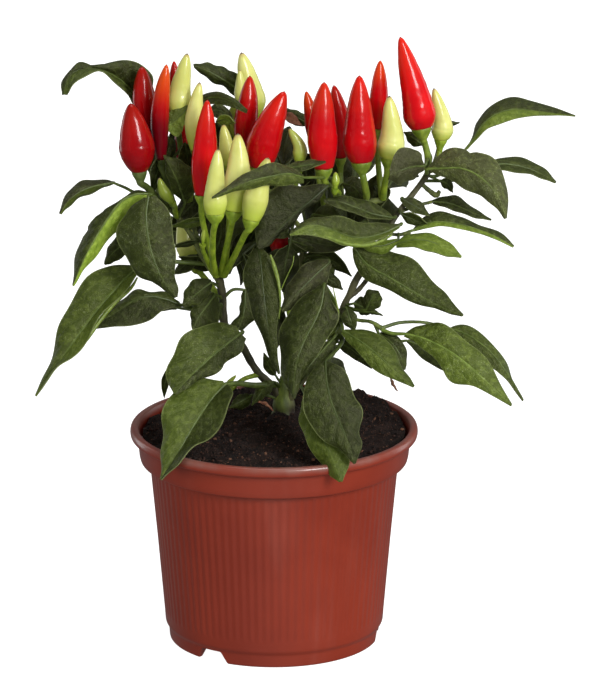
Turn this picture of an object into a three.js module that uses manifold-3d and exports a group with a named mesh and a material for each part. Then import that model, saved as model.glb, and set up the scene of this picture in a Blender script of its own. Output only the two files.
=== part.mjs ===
// A chilli pepper plant in a plastic nursery pot, in millimetres, +Z up, resting on z = 0.
// The front looks along -Y. The pot's axis is the Z axis.
import * as THREE from "three";
import { mergeVertices } from "three/addons/utils/BufferGeometryUtils.js";
import Module from "manifold-3d";

const wasm = await Module();
wasm.setup();

// Driving dimensions
const POT_DIAMETER = 130;
const POT_HEIGHT = 99.5;
const LIP_RADIUS = POT_DIAMETER / 2;
const COLLAR_RADIUS = 61.6;
const BODY_TOP_RADIUS = 56.1;
const BODY_FOOT_RADIUS = 49.6;
const FOOT_RADIUS = 47.4;
const FOOT_HEIGHT = 6.2;
const HUB_RADIUS = 27;
const POT_SIDES = 36;
const POT_WALL = 1.3;
const NOTCH_WIDTH = 22;
const NOTCH_ANGLES = [-130, -10, 110];
const GAP = 0.3;
const SOIL_LEVEL = 94.5;
const SOIL_RADIUS = 59.6;
const SOIL_SIDES = 20;
const TRUNK_PLACE = [5, 8];
const TRUNK_RADIUS = 3.6;
const BLADE_THICKNESS = 0.7;
const STEM_SIDES = 5;
const STALK_SIDES = 4;
const PETIOLE_RADIUS = 0.8;
const BROAD_BLADE = 9;
const FRUIT_SIDES = 7;
const LEAF_STATIONS = 6;
const STEM_LEAF_STATIONS = 4;
const SHORT_BLADE = 30;

// Places on the plant are given as they are seen from the front, 17 degrees above the level:
// across, up the view, and how far back, all in millimetres at the pot's own distance.
const SIGHT_DEGREES = 17;
const SIGHT_DISTANCE = 3500;
const SIGHT_ACROSS = 11.7;
const SIGHT_HEIGHT = 136;
const SIGHT_SIN = Math.sin(THREE.MathUtils.degToRad(SIGHT_DEGREES));
const SIGHT_COS = Math.cos(THREE.MathUtils.degToRad(SIGHT_DEGREES));

function seen([across, up, back]) {
  const level = (up - back * SIGHT_SIN) / SIGHT_COS;
  const reach = 1 + (back * SIGHT_COS - (level - SIGHT_HEIGHT) * SIGHT_SIN) / SIGHT_DISTANCE;
  const centre = SIGHT_HEIGHT * SIGHT_COS;
  const rise = centre + (up - centre) * reach;
  const x = SIGHT_ACROSS + (across - SIGHT_ACROSS) * reach;
  return new THREE.Vector3(x, back, (rise - back * SIGHT_SIN) / SIGHT_COS);
}

// Branches: seen places with the radius as a fourth number
const BRANCHES = [
  // green foot of the trunk, up to where it divides
  [[5, 97, 8, 3.6], [5, 103, 8, 3.4], [4.6, 108, 7.6, 2.8], [4.6, 112, 7.6, 2]],
  // left main stem, up to the crown of long stalks
  [[4.6, 105, 8, 2.2], [-1, 113, 6.5, 1.9], [-6, 117.5, 5, 1.7], [-10, 123, 4, 1.7],
  [-13.5, 129.5, 3, 1.7],
    [-17, 135.5, 2, 1.9], [-21.5, 138.5, 1, 2], [-22.8, 144, 0, 1.9], [-23, 152, -1, 1.8],
    [-24, 158, -2, 1.9], [-24.8, 162, -3, 2.2]],
  // right main stem, up to the fork under the largest fruit
  [[5, 104, 8, 2.3], [10, 112, 5, 2], [16.2, 120, 1, 1.8], [23, 129, -3, 1.7], [28.5, 138, -6, 1.7],
    [30.8, 147, -8, 1.7], [33.5, 153, -9, 1.6], [37, 160.5, -9.5, 1.7], [40.5, 166, -8, 1.6],
    [45.4, 174, -6, 1.5], [51, 182.5, -4, 1.4], [55.8, 190.7, -2, 1.3], [62, 198.5, 0, 1.3],
    [68, 206.5, 1, 1.5], [69.5, 210, 1, 1.6]],
  // middle stem and its forks
  [[5.2, 103, 9, 2.2], [6.5, 120, 13, 2], [8, 140, 15, 1.9], [11, 160, 15, 1.8], [15, 180, 12, 1.7],
    [22, 192, 8, 1.6], [30, 198, 4, 1.7]],
  [[30, 198, 4, 1.4], [36, 195.5, 2, 1.3], [42, 195.5, 1, 1.5], [49, 196.5, 2, 1.4]],
  [[15, 180, 12, 1.3], [7, 190, 6, 1.2], [1, 198, 0, 1.3]],
  [[11, 160, 15, 1.4], [-2, 178, 18, 1.3], [-9, 198, 20, 1.2], [-12, 214, 18, 1.5]],
  // shoot to the upper left and its fork
  [[-24.5, 160, -3, 1.5], [-31, 169, -4, 1.3], [-37.5, 181, -5, 1.2], [-44, 189.5, -6, 1.1],
    [-50, 194.5, -7, 1.2], [-55, 199.5, -10, 1.1]],
  [[-31, 169, -4, 1.2], [-36, 184, 1, 1.1], [-40, 198, 3, 1.3]],
  // long stalk with the two low right leaves
  [[30.8, 146, -8, 1], [37, 142.6, -11, 0.9], [43.5, 141.6, -13, 0.9], [48.6, 138.6, -14, 1.3]],
  // twigs on the right
  [[55.8, 190.7, -2, 0.9], [63, 193.5, 1, 0.8], [71, 195.6, 3, 0.8]],
  [[66, 204, 1, 0.9], [70, 200.5, 2, 1.1], [73, 198.6, 3, 1.3], [74.5, 200.5, 3, 0.8]],
  [[50, 181.5, -4.2, 0.9], [56, 180.8, -4, 0.8], [61.4, 181.9, -4, 1.1]],
];

// Fruits: base, middle and tip as seen, how far back the base and the tip are, the radius,
// where along it the fruit is widest, and the stalk's way from its branch
const FRUITS = [
  { name: "fruit_red_01", seen: [[-60.5, 209], [-62, 222], [-64.6, 240]], back: [-20, -20], radius: 8,
    belly: 0.36,
    stalk: [[-53.5, 198, -9], [-57, 202, -14]] },
  { name: "fruit_red_02", seen: [[-56.5, 216], [-57.6, 238], [-60, 256.5]], back: [-3, 0], radius: 4.9,
    belly: 0.4,
    stalk: [[-48, 193, -6.5], [-52, 201, -2], [-55, 209, -2]] },
  { name: "fruit_red_03", seen: [[-50, 214], [-52, 234], [-48, 257]], back: [-12, -12], radius: 4.3,
    belly: 0.35,
    stalk: [[-44, 189.5, -6], [-46.5, 199, -8], [-49, 207, -11]] },
  { name: "fruit_red_04", seen: [[-45, 236], [-44.6, 248], [-45, 259]], back: [8, 9], radius: 3,
    belly: 0.4,
    stalk: [[-40, 198, 3], [-43.5, 214, 7], [-45, 229, 8]] },
  { name: "fruit_yellow_05", seen: [[-43, 233], [-42.2, 246], [-39, 262.5]], back: [-5, -4], radius: 5.5,
    belly: 0.34,
    stalk: [[-40, 197, 2.5], [-41, 211, -1], [-42.8, 226, -4.6]] },
  { name: "fruit_yellow_06", seen: [[-35, 218.5], [-35.8, 234], [-33.4, 249.5]], back: [-12, -12],
    radius: 4.3,
    belly: 0.42, stalk: [[-39, 193, 1.5], [-36.5, 202, -6], [-35, 211, -11]] },
  { name: "fruit_red_07", seen: [[-40, 213], [-39.3, 223], [-37.8, 232.6]], back: [5, 6], radius: 4,
    belly: 0.4,
    stalk: [[-40, 198, 3], [-40.3, 202, 4], [-40.2, 207, 5]] },
  { name: "fruit_red_08", seen: [[-32.2, 198], [-31, 218], [-30, 241.6]], back: [-28, -26], radius: 5.7,
    belly: 0.42,
    stalk: [[-25.6, 162.5, -4], [-29, 174, -14], [-32.3, 188, -24]] },
  { name: "fruit_yellow_09", seen: [[-26.5, 189.8], [-26.4, 202], [-25.2, 219.6]], back: [-45, -44],
    radius: 5.2,
    belly: 0.28, stalk: [[-26.4, 163, -6], [-27.6, 170, -22], [-27.4, 181, -39]] },
  { name: "fruit_yellow_10", seen: [[-18.2, 191], [-16, 208], [-16.2, 226.5]], back: [-30, -28],
    radius: 5.9,
    belly: 0.45, stalk: [[-23.6, 163, -4], [-22, 172, -16], [-19.4, 184, -26]] },
  { name: "fruit_yellow_11", seen: [[-20.4, 212], [-21.4, 221], [-22.8, 230.4]], back: [-12, -12],
    radius: 3.8,
    belly: 0.35, stalk: [[-23, 162, -3], [-20.6, 180, -7], [-19.8, 203, -11]] },
  { name: "fruit_yellow_12", seen: [[-10.4, 187], [-7.4, 200], [-2.5, 215.6]], back: [-38, -36],
    radius: 5.6,
    belly: 0.4, stalk: [[-22.4, 162.5, -5], [-18.4, 170, -18], [-13, 181, -34]] },
  { name: "fruit_yellow_13", seen: [[-14.4, 238], [-15.4, 250], [-15, 262.4]], back: [22, 22], radius: 3,
    belly: 0.4,
    stalk: [[-12.2, 214, 18], [-13.4, 223, 21], [-14.2, 231, 22]] },
  { name: "fruit_yellow_14", seen: [[-8.4, 234], [-9.2, 246], [-11.4, 259.6]], back: [31, 31],
    radius: 5.2,
    belly: 0.35, stalk: [[-11.6, 214, 18.5], [-10, 221, 26], [-8.6, 228, 30]] },
  { name: "fruit_red_15", seen: [[-14.4, 221], [-12.2, 236], [-10.8, 252.3]], back: [2, 4], radius: 5.3,
    belly: 0.42,
    stalk: [[-11.8, 210, 18.5], [-13.4, 211.5, 8], [-14.4, 215, 2.6]] },
  { name: "fruit_red_16", seen: [[-7, 210.6], [-3.8, 225], [4.8, 245.4]], back: [-15, -14], radius: 7.7,
    belly: 0.42,
    stalk: [[1, 198, 0], [-4, 201, -8], [-7.6, 205, -14]] },
  { name: "fruit_yellow_17", seen: [[11.6, 213.6], [11.6, 220.6], [6.7, 228.2]], back: [-8, -8],
    radius: 3.3,
    belly: 0.34, stalk: [[6, 191.5, 5.6], [9, 201, -2], [11.4, 208, -7]] },
  { name: "fruit_red_18", seen: [[22.4, 210], [21.6, 228], [22.6, 249.6]], back: [-20, -18], radius: 6.6,
    belly: 0.42,
    stalk: [[28.5, 197.5, 3.6], [27, 200.5, -9], [23.4, 204, -19]] },
  { name: "fruit_red_19", seen: [[18.4, 222], [17, 233], [14.4, 245.4]], back: [8, 8], radius: 3.6,
    belly: 0.38,
    stalk: [[23, 193, 7.4], [20.5, 204, 7.6], [19, 215, 8]] },
  { name: "fruit_red_20", seen: [[29.8, 215], [29.6, 232], [26.9, 248.2]], back: [15, 15], radius: 4.7,
    belly: 0.42,
    stalk: [[30, 198.5, 5], [30, 203, 12], [29.8, 208, 15]] },
  { name: "fruit_red_21", seen: [[39.4, 213], [38.4, 228], [38.4, 252.6]], back: [-15, -13], radius: 7.7,
    belly: 0.36,
    stalk: [[41, 196, 1], [41.6, 199, -9], [40.4, 205.5, -15]] },
  { name: "fruit_red_22", seen: [[46.2, 228], [47.2, 244], [47.8, 259.3]], back: [5, 6], radius: 4.2,
    belly: 0.42,
    stalk: [[48.6, 197, 2.4], [47.2, 209, 4], [46.4, 220, 5]] },
  { name: "fruit_yellow_23", seen: [[51.6, 215], [53, 226], [51.8, 243.4]], back: [-8, -8], radius: 6.3,
    belly: 0.32,
    stalk: [[49, 197.4, 1], [49.6, 202, -5], [50.8, 208.5, -8]] },
  { name: "fruit_red_24", seen: [[66.4, 228.3], [63.8, 243], [56.7, 270]], back: [0, 2], radius: 7.5,
    belly: 0.26,
    stalk: [[69.3, 210, 1], [69.2, 216, 0.6], [67.8, 222, 0.2]] },
  { name: "fruit_yellow_25", seen: [[75, 223.4], [75.6, 232], [71.8, 246.8]], back: [8, 8], radius: 4.9,
    belly: 0.3,
    stalk: [[70, 209.6, 2], [73.6, 213.4, 6], [74.4, 218, 8]] },
  { name: "fruit_yellow_26", seen: [[-36.6, 168.5], [-39.6, 178], [-41.4, 192]], back: [12, 13],
    radius: 5,
    belly: 0.4, stalk: [[-23, 150, -1], [-27, 156, 7], [-33, 163.4, 11.6]] },
  { name: "fruit_red_27", seen: [[-28, 190.5], [-28.6, 202], [-29, 214]], back: [42, 44], radius: 5,
    belly: 0.36,
    stalk: [[-6, 188, 19], [-16, 186, 32], [-25, 186, 41]] },
  { name: "fruit_yellow_28", seen: [[24, 196], [25, 210], [24.4, 226]], back: [40, 44], radius: 5.4,
    belly: 0.38,
    stalk: [[17, 184, 11], [20, 187, 26], [23.4, 190, 38]] },
  { name: "fruit_red_29", seen: [[2.4, 184], [2, 196], [-1, 210]], back: [46, 52], radius: 4.8,
    belly: 0.36,
    stalk: [[9.6, 152, 15.4], [6, 166, 34], [3.2, 177.6, 45]] },
];

// Young fruits and buds are small enough to stay part of the stem
const BUDS = [
  { seen: [[-46.4, 196], [-49.6, 200.6], [-51.8, 206.4]], back: [-14, -15], radius: 2.6, belly: 0.4,
    stalk: [[-43.6, 189, -6], [-44.6, 192, -11]] },
  { seen: [[3, 166], [1.8, 176], [0.4, 194]], back: [12, 10], radius: 4.4, belly: 0.4,
    stalk: [[8, 141, 15], [5.4, 152, 14.4], [3.6, 160, 12.6]] },
  { seen: [[27.6, 202.6], [27.8, 206], [27.6, 209]], back: [-20, -20], radius: 1.9, belly: 0.4,
    stalk: [[28.6, 197.6, 3.6], [29.2, 199.6, -10], [28, 200.4, -18]] },
  { seen: [[-19, 222], [-18.6, 232], [-17.4, 240.6]], back: [13, 14], radius: 3.5, belly: 0.4,
    stalk: [[-12.2, 212, 18], [-16, 212, 15.4], [-18.6, 216, 13.4]] },
  { seen: [[-32, 177.4], [-31.8, 181], [-31, 185.4]], back: [-20, -22], radius: 1.1, belly: 0.4,
    stalk: [[-27, 163, -5], [-30, 169, -12], [-32, 174, -18]] },
  { seen: [[-21, 111.8], [-20, 114.4], [-17, 117.6]], back: [-2, -2], radius: 1.4, belly: 0.4,
    stalk: [[-6.6, 118, 5], [-14, 115.6, 1]] },
];

// Leaves: the rib as seen, the widths left and right of the way it runs, how far back each
// edge lies from the rib, where it is widest, and the stalk's way from its stem
const LEAVES = [
  { name: "leaf_01", rib: [[-58.5, 240, 9], [-67, 252.6, 5], [-80, 255.8, -2], [-91, 253.6, -6],
    [-95, 244.3, -10]],
    widths: [5, 6], edges: [-4, 5], widest: 0.3,
    stalk: [[-50, 194.5, -7], [-54, 212, 6], [-56.5, 230, 11]] },
  { name: "leaf_02", rib: [[-72, 203.7, -8], [-82, 202.6, -10], [-91, 198.4, -13], [-96, 190.2, -16]],
    widths: [2.2, 3.4], edges: [6, 7], widest: 0.4,
    stalk: [[-54, 198.8, -10], [-62, 199.6, -9], [-67, 202, -8]] },
  { name: "leaf_03", rib: [[-55, 198.6, -15], [-70, 192, -19], [-80, 180.5, -25], [-86.5, 168, -31],
    [-90.4, 158, -35]],
    widths: [5, 4.4], edges: [4, 6], widest: 0.42, stalk: [[-51.5, 195.8, -8], [-53, 197.4, -12]] },
  { name: "leaf_04", rib: [[-57, 197.5, -27], [-57, 188, -31], [-54.4, 173, -37], [-50, 160, -40],
    [-44, 152.6, -42]],
    widths: [10.5, 13.5], edges: [3, 7], widest: 0.38,
    stalk: [[-47.5, 192.6, -6.6], [-52, 196, -15], [-56, 198.4, -24]] },
  { name: "leaf_06", rib: [[-62, 166, -12], [-70, 158, -16], [-84, 144, -22], [-96, 127, -28],
    [-107, 109, -34]],
    widths: [6, 12.6], edges: [-5, 6], widest: 0.4,
    stalk: [[-30, 167.6, -4], [-44, 168.6, -6], [-56, 168.4, -9]] },
  { name: "leaf_07", rib: [[-42, 149.3, -3], [-53, 152.2, -4], [-66, 148.6, -6], [-83, 138.4, -8]],
    widths: [8.6, 5], edges: [-3, 6], widest: 0.5,
    stalk: [[-23, 148, -0.5], [-34, 147.6, 0], [-40, 148.8, -2]] },
  { name: "leaf_11", rib: [[13, 207, -36], [2, 208, -44], [-12, 203.8, -51], [-28, 197.2, -58]],
    widths: [3.8, 5], edges: [3, 4], widest: 0.35,
    stalk: [[30, 199, 3], [27, 205.6, -12], [19, 206.6, -29]] },
  { name: "leaf_12", rib: [[24, 203, -24], [14, 195.6, -28], [4, 186, -31], [-6, 174.4, -36]],
    widths: [3.2, 9.6], edges: [2, 4], widest: 0.6,
    stalk: [[26.4, 196, 5.4], [25.6, 200, -8], [24.6, 202.6, -20]] },
  { name: "leaf_13", rib: [[-7.5, 174.6, -30], [-6.1, 163, -38], [-4.6, 148, -43], [-2, 134, -45],
    [2.3, 118.5, -46]],
    widths: [7, 7.2], edges: [1, 4], widest: 0.38,
    stalk: [[9, 150, 15], [-2, 166, -6], [-6.6, 173.6, -24]] },
  { name: "leaf_14", rib: [[21.5, 158, -32], [19.6, 146, -37], [15.4, 132, -43], [11, 119.6, -47],
    [9, 107, -50]],
    widths: [7.6, 13.4], edges: [3, 8], widest: 0.42,
    stalk: [[29.6, 142.6, -7], [27, 151, -20], [23, 158, -29]] },
  { name: "leaf_15", rib: [[25, 168.2, -19], [18, 160.6, -23], [10, 153, -27], [3.4, 146.5, -29]],
    widths: [7, 6.6], edges: [2, 5], widest: 0.45,
    stalk: [[12, 164, 15], [18, 169.4, 0], [24, 169.4, -16]] },
  { name: "leaf_16", rib: [[23, 124, -40], [24, 113, -47], [29, 99, -55], [33, 89.6, -61],
    [36.4, 77.8, -66]],
    widths: [8, 12.4], edges: [4, 2], widest: 0.4,
    stalk: [[28, 137, -5.8], [31, 133, -20], [26, 126.8, -34]] },
  { name: "leaf_16_under", rib: [[14, 107, -40], [18, 94, -50], [24, 83, -60], [30, 69.8, -66]],
    widths: [7.4, 5], edges: [1, 3], widest: 0.5,
    stalk: [[9.4, 111, 5.4], [11.6, 113, -12], [13.6, 110, -34]] },
  { name: "leaf_17", rib: [[-22, 113.6, -22], [-31, 105, -30], [-38, 94.5, -39], [-44, 84, -47],
    [-51, 70.6, -53]],
    widths: [9.6, 13], edges: [-6, 6], widest: 0.42,
    stalk: [[-4, 115.4, 5.8], [-10, 114, -6], [-18, 114.6, -18]] },
  { name: "leaf_18", rib: [[-15, 137, -9], [-25, 131.6, -17], [-35, 122.6, -26], [-46.6, 108.8, -35]],
    widths: [8.4, 16], edges: [2, 4], widest: 0.54, stalk: [[-16.4, 134.8, 2.2], [-14, 137, -4]] },
  { name: "leaf_20", rib: [[37, 174.4, -13], [45, 166, -18], [58, 158.6, -24], [70, 151, -30],
    [85, 144.3, -36]],
    widths: [11, 4.8], edges: [8, 2], widest: 0.4,
    stalk: [[45, 173.4, -6.2], [41, 177, -9], [38, 176.4, -12]] },
  { name: "leaf_21", rib: [[57, 185.6, -22], [45, 182.4, -28], [33, 183.4, -34], [20, 184.4, -40],
    [7, 181, -45]],
    widths: [4, 5.6], edges: [-3, 5], widest: 0.45,
    stalk: [[52.6, 185, -3.4], [56, 185, -12], [57.4, 185.8, -19]] },
  { name: "leaf_23", rib: [[69, 210.6, -14], [80, 210.4, -19], [91, 207, -24], [100, 199.4, -28],
    [104, 188, -31]],
    widths: [9.8, 6], edges: [9, 1], widest: 0.48, stalk: [[68.8, 208.4, 1], [68.6, 209.6, -9]] },
  { name: "leaf_24", rib: [[86, 219.6, 4], [91, 228, 5], [97, 235, 6], [107, 238.6, 6], [120, 237.4, 4],
    [135.4, 234.3, 0]],
    widths: [3.8, 4.4], edges: [6, -2], widest: 0.45,
    stalk: [[68.2, 207.4, 1.2], [74, 207.5, 9], [82, 213.4, 9]] },
  { name: "leaf_25", rib: [[95, 211, 12], [105, 212.4, 14], [116, 210.4, 15], [127, 204, 14]],
    widths: [3.2, 3.6], edges: [6, -3], widest: 0.45,
    stalk: [[67.6, 205, 2.4], [82, 205.4, 10], [91, 209.6, 12]] },
  { name: "leaf_26", rib: [[68, 213.4, -20], [63, 214, -25], [58, 212.6, -28], [52.6, 209.6, -29]],
    widths: [6.4, 7], edges: [3, 2], widest: 0.55,
    stalk: [[69.2, 211, -0.6], [69.4, 214.6, -10], [68.6, 213.8, -18]] },
  { name: "leaf_28", rib: [[62.4, 182.8, -4], [72, 186.4, -6], [85, 185.4, -9], [98, 181.2, -12],
    [107.8, 175.3, -14]],
    widths: [4.4, 2.2], edges: [7, -1], widest: 0.35, stalk: [[60.4, 182, -4]] },
  { name: "leaf_29", rib: [[55, 176.4, -10], [65, 178.8, -12], [75, 176.6, -14], [84, 170.8, -16]],
    widths: [2.8, 2.6], edges: [5, -4], widest: 0.45, stalk: [[46, 174.6, -6], [50, 174.6, -8]] },
  { name: "leaf_30", rib: [[59, 136.2, -20], [70, 133.6, -26], [82, 127, -33], [94, 117, -39],
    [107, 104, -45]],
    widths: [7.6, 9.8], edges: [6, 1], widest: 0.44, stalk: [[48.6, 138, -14.6], [53, 136.4, -17]] },
  { name: "leaf_31", rib: [[79, 138.6, -8], [89, 133.6, -12], [100, 124.6, -17], [112, 106.2, -22]],
    widths: [5, 6], edges: [6, -2], widest: 0.4,
    stalk: [[49, 139, -13.4], [57, 141.3, -11], [68, 141.3, -9]] },
  { name: "leaf_32", rib: [[31, 138, -21], [41, 131.6, -27], [50, 123.6, -32], [62.8, 112.4, -38]],
    widths: [6.6, 6.4], edges: [6, 0], widest: 0.45, stalk: [[30, 140.8, -6.8], [30.4, 140.6, -14]] },
];

// Small, hidden and rearward leaves grow as part of the stem
const STEM_LEAVES = [
  { rib: [[-63, 177, -6], [-70, 173.6, -8], [-76, 167.4, -10]], widths: [2.6, 3.4], edges: [1, 3],
    stalk: [[-40, 185, -5], [-54, 184, -4]] },
  { rib: [[-37, 240, 2], [-42, 233, 1], [-49.4, 229.6, -1]], widths: [4.4, 4.4], edges: [2, 2],
    stalk: [[-40, 199, 3], [-38.4, 218, 14], [-36.6, 236, 8]] },
  { rib: [[-40, 195, -14], [-44, 206, -19], [-49.6, 216.6, -20]], widths: [3.6, 9], edges: [2, 4],
    stalk: [[-43.4, 188.6, -6]] },
  { rib: [[-19, 246, 36], [-27, 252, 35], [-36, 256.8, 33]], widths: [3.8, 4.2], edges: [3, 5],
    stalk: [[-12, 213, 18.4], [-15.6, 226, 36], [-16.6, 238, 38]] },
  { rib: [[-34, 238.6, 6], [-27, 242.4, 1], [-19, 242, -5], [-12, 236.2, -9]], widths: [2.6, 2.9],
    edges: [2, -1],
    stalk: [[-40, 198, 3.4], [-34.6, 214, 12], [-34, 231, 11]] },
  { rib: [[-30, 236, 10], [-24, 236.4, 9], [-17.4, 230.8, 6]], widths: [3, 3.6], edges: [2, -1],
    stalk: [[-35, 222, 11.6]] },
  { rib: [[4, 210.4, -30], [13, 211, -31], [23.4, 213.8, -31]], widths: [2.2, 2.8], edges: [3, -1],
    stalk: [[1, 198, 0], [1, 205, -14], [2, 209.6, -26]] },
  { rib: [[53.4, 188.4, -12], [44, 191.4, -15], [34, 194.4, -18], [22, 196.4, -20]], widths: [2.4, 3.6],
    edges: [-2, 4],
    stalk: [[54.6, 189, -2.6], [54.4, 188.6, -8]] },
  { rib: [[71, 195.6, 3], [80, 194.6, 2], [88, 191.2, 1], [97.7, 187.5, -1]], widths: [3.8, 2.2],
    edges: [5, -2],
    stalk: [[69, 195, 3]] },
  { rib: [[27, 134, -22], [19, 125, -29], [10.4, 113, -36]], widths: [3.6, 3.6], edges: [2, 2],
    stalk: [[26, 134, -4.8], [28, 136, -14]] },
  { rib: [[-27.4, 160, -5], [-34, 155.4, -8], [-40, 151, -10]], widths: [4, 3], edges: [1, 3],
    stalk: [[-23.8, 157, -2]] },
  { rib: [[-26.4, 154, -6], [-32, 148, -9], [-37, 138.4, -12]], widths: [4.4, 4.6], edges: [2, 2],
    stalk: [[-23, 152, -1]] },
  { rib: [[-24, 150, -4], [-27, 144, -7], [-27, 138, -9]], widths: [3, 4], edges: [2, 2],
    stalk: [[-23, 148, -0.6]] },
  { rib: [[67, 221, 8], [63, 224, 9], [58.4, 227, 10]], widths: [3, 3], edges: [2, 2],
    stalk: [[69.4, 211, 1.6], [70.6, 216, 7]] },
  { rib: [[47, 136.4, -14], [54, 129.6, -18], [58.4, 120, -21]], widths: [4.6, 4], edges: [2, -1],
    stalk: [[45.4, 140.6, -13.4]] },
  { rib: [[29, 132, -13], [35, 129.6, -16], [44, 120.8, -19]], widths: [2.6, 2.6], edges: [3, 0],
    stalk: [[24, 130.6, -3.6], [27, 132.6, -9]] },
  { rib: [[35.5, 149.8, -14], [41, 150.4, -17], [48.4, 144.8, -19]], widths: [5, 3.8], edges: [3, 2],
    stalk: [[31.6, 149, -8.2]] },
  { rib: [[32.5, 148, -14], [34.2, 142.6, -17], [36.4, 137.4, -17]], widths: [3.4, 3.4], edges: [1, 1],
    stalk: [[31, 147.6, -8]] },
  { rib: [[0, 114.8, 0], [-5, 110.6, -4], [-10, 104, -8]], widths: [2.6, 2.8], edges: [2, 2],
    stalk: [[3, 112, 7]] },
  { rib: [[-10, 108.6, 3], [-15, 105.6, 0], [-20, 103, -3]], widths: [3.2, 3], edges: [2, 2],
    stalk: [[3.6, 106, 7.6], [-4, 108.8, 5]] },
  { rib: [[1, 117, 5], [-2.4, 122, 3], [-4.6, 127.8, 1]], widths: [2.4, 2.4], edges: [1, 1],
    stalk: [[4.6, 111, 7.6], [3, 114, 6.6]] },
  { rib: [[6.5, 178.4, -2], [12.4, 176.6, -4], [18.6, 174.6, -6]], widths: [2, 4], edges: [2, 0],
    stalk: [[14, 175, 13], [8, 176, 6]] },
  { rib: [[-15, 154, 0], [-15, 147, -3], [-18, 139, -5]], widths: [4.2, 3.4], edges: [2, 2],
    stalk: [[-23, 152, -0.6], [-18.6, 156, 0]] },
  { rib: [[20, 172, 4], [24, 168, 0], [27, 163, -3]], widths: [4, 4], edges: [2, 2],
    stalk: [[12.6, 168, 14.6], [16, 171, 9]] },
  { rib: [[31, 204, 2], [36, 202, -4], [41, 196, -8]], widths: [4.6, 4.4], edges: [2, 2],
    stalk: [[30.4, 198, 3.6], [30, 202, 4]] },
  { rib: [[74.6, 205, 3], [78, 203.6, 3], [80.4, 199.8, 3]], widths: [2.4, 2.4], edges: [1, 1],
    stalk: [[69, 207.6, 1]] },
  { rib: [[75.6, 228.6, 15], [79, 230.6, 15], [83.6, 231.2, 15]], widths: [1.4, 1.6], edges: [1, 1],
    stalk: [[71, 211, 2], [73, 217, 13]] },
  { rib: [[-47.6, 121, -13], [-49, 114, -15], [-49.4, 107, -16]], widths: [1.8, 1.8], edges: [0, 0],
    stalk: [[-17, 135.4, 2], [-34, 129, -8]] },
  { rib: [[16, 230.4, 22], [10, 233.6, 24], [4, 238, 25]], widths: [3.2, 3], edges: [2, 2],
    stalk: [[22, 193, 8], [19, 208, 18], [18, 222, 21]] },
  { rib: [[8, 222, 14], [5, 217, 10], [3, 211, 5]], widths: [4, 4], edges: [1, 1],
    stalk: [[8, 189, 6.4], [9.6, 204, 13], [9.6, 216, 15]] },
  { rib: [[10, 198, 18], [5, 192, 12], [2, 184, 8]], widths: [5, 5], edges: [2, 2],
    stalk: [[15, 181, 12.4], [13, 191, 17]] },
  { rib: [[18, 190, 2], [24, 189, -4], [32, 187, -8]], widths: [5, 5], edges: [2, 2],
    stalk: [[18, 185.6, 10.6], [17, 189, 6]] },
  { rib: [[-27, 172, 2], [-24, 180, 4], [-24, 190, 6]], widths: [6, 6], edges: [3, 3],
    stalk: [[-28, 165, -3.4]] },
  { rib: [[-12, 192, 12], [-17, 187, 6], [-19, 178, 2]], widths: [6, 6], edges: [2, 2],
    stalk: [[-6.8, 191, 19.4]] },
  // rearward leaves
  { rib: [[16, 176, 28], [26, 185, 45], [40, 187, 62], [51, 183, 75]], widths: [8, 8], edges: [-4, 6],
    stalk: [[13.6, 174, 13], [14, 174, 20]] },
  { rib: [[10, 148, 27], [14, 153, 45], [18, 149, 64], [20, 139, 80]], widths: [9, 9], edges: [4, 4],
    stalk: [[8.4, 142, 15], [9, 145, 21]] },
  { rib: [[-24, 147, 12], [-30, 150.6, 28], [-33.6, 148.6, 45], [-34.6, 141, 60]], widths: [5.6, 5.6],
    edges: [3, 3],
    stalk: [[-22.8, 144, 0], [-23, 145.6, 6]] },
  { rib: [[-30, 170, 16], [-44, 182, 29], [-56, 182, 42], [-66, 175, 52]], widths: [6, 6], edges: [-4, 8],
    stalk: [[-24.4, 158.6, -1.6], [-26, 165, 6]] },
  { rib: [[-41, 204, 16], [-42, 213, 30], [-40, 221, 46], [-36, 221, 62]], widths: [9, 9], edges: [3, 3],
    stalk: [[-40, 197, 3.6], [-40.6, 200, 10]] },
  { rib: [[-11, 204, 30], [-15, 214, 42], [-21, 224, 54], [-29, 227, 68]], widths: [8, 8], edges: [3, 3],
    stalk: [[-9, 197, 20], [-9.6, 200, 26]] },
  { rib: [[6, 202, 24], [7, 210, 34], [8, 217, 50], [10, 218, 70]], widths: [8.4, 8.4], edges: [4, 4],
    stalk: [[7.4, 190, 6.4], [6.4, 196, 15]] },
  { rib: [[36, 206, 22], [37.6, 213, 34], [39, 220, 50], [40, 221, 66]], widths: [7, 8], edges: [3, 3],
    stalk: [[30.6, 198.4, 4.6], [31, 202, 14]] },
  { rib: [[51, 202, 16], [55, 207, 30], [60, 209, 44], [65, 207, 58]], widths: [6.6, 6.6], edges: [3, 4],
    stalk: [[48.6, 196.6, 2.4], [49.6, 199, 9]] },
  { rib: [[46, 170.6, 8], [53, 166, 25], [59, 161, 42], [63, 155, 58]], widths: [6, 6], edges: [4, 2],
    stalk: [[43.4, 171, -6.6], [44.6, 171.4, 1]] },
  { rib: [[60, 133, 20], [72, 128.4, 32], [84, 122.6, 42], [94, 115.4, 50]], widths: [6.2, 6.2],
    edges: [5, 2],
    stalk: [[24, 130.4, -3.4], [40, 131, 8], [52, 132.6, 15]] },
  { rib: [[-21, 131, 14], [-31, 127.6, 28], [-39, 121.6, 42], [-45, 115.4, 53]], widths: [6, 6],
    edges: [2, 5],
    stalk: [[-13.6, 129.8, 3], [-16.4, 131, 8]] },
  { rib: [[20, 121.4, 17], [25, 121, 31], [29, 118.4, 44], [31.6, 115, 55]], widths: [5.4, 5.4],
    edges: [3, 3],
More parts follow.
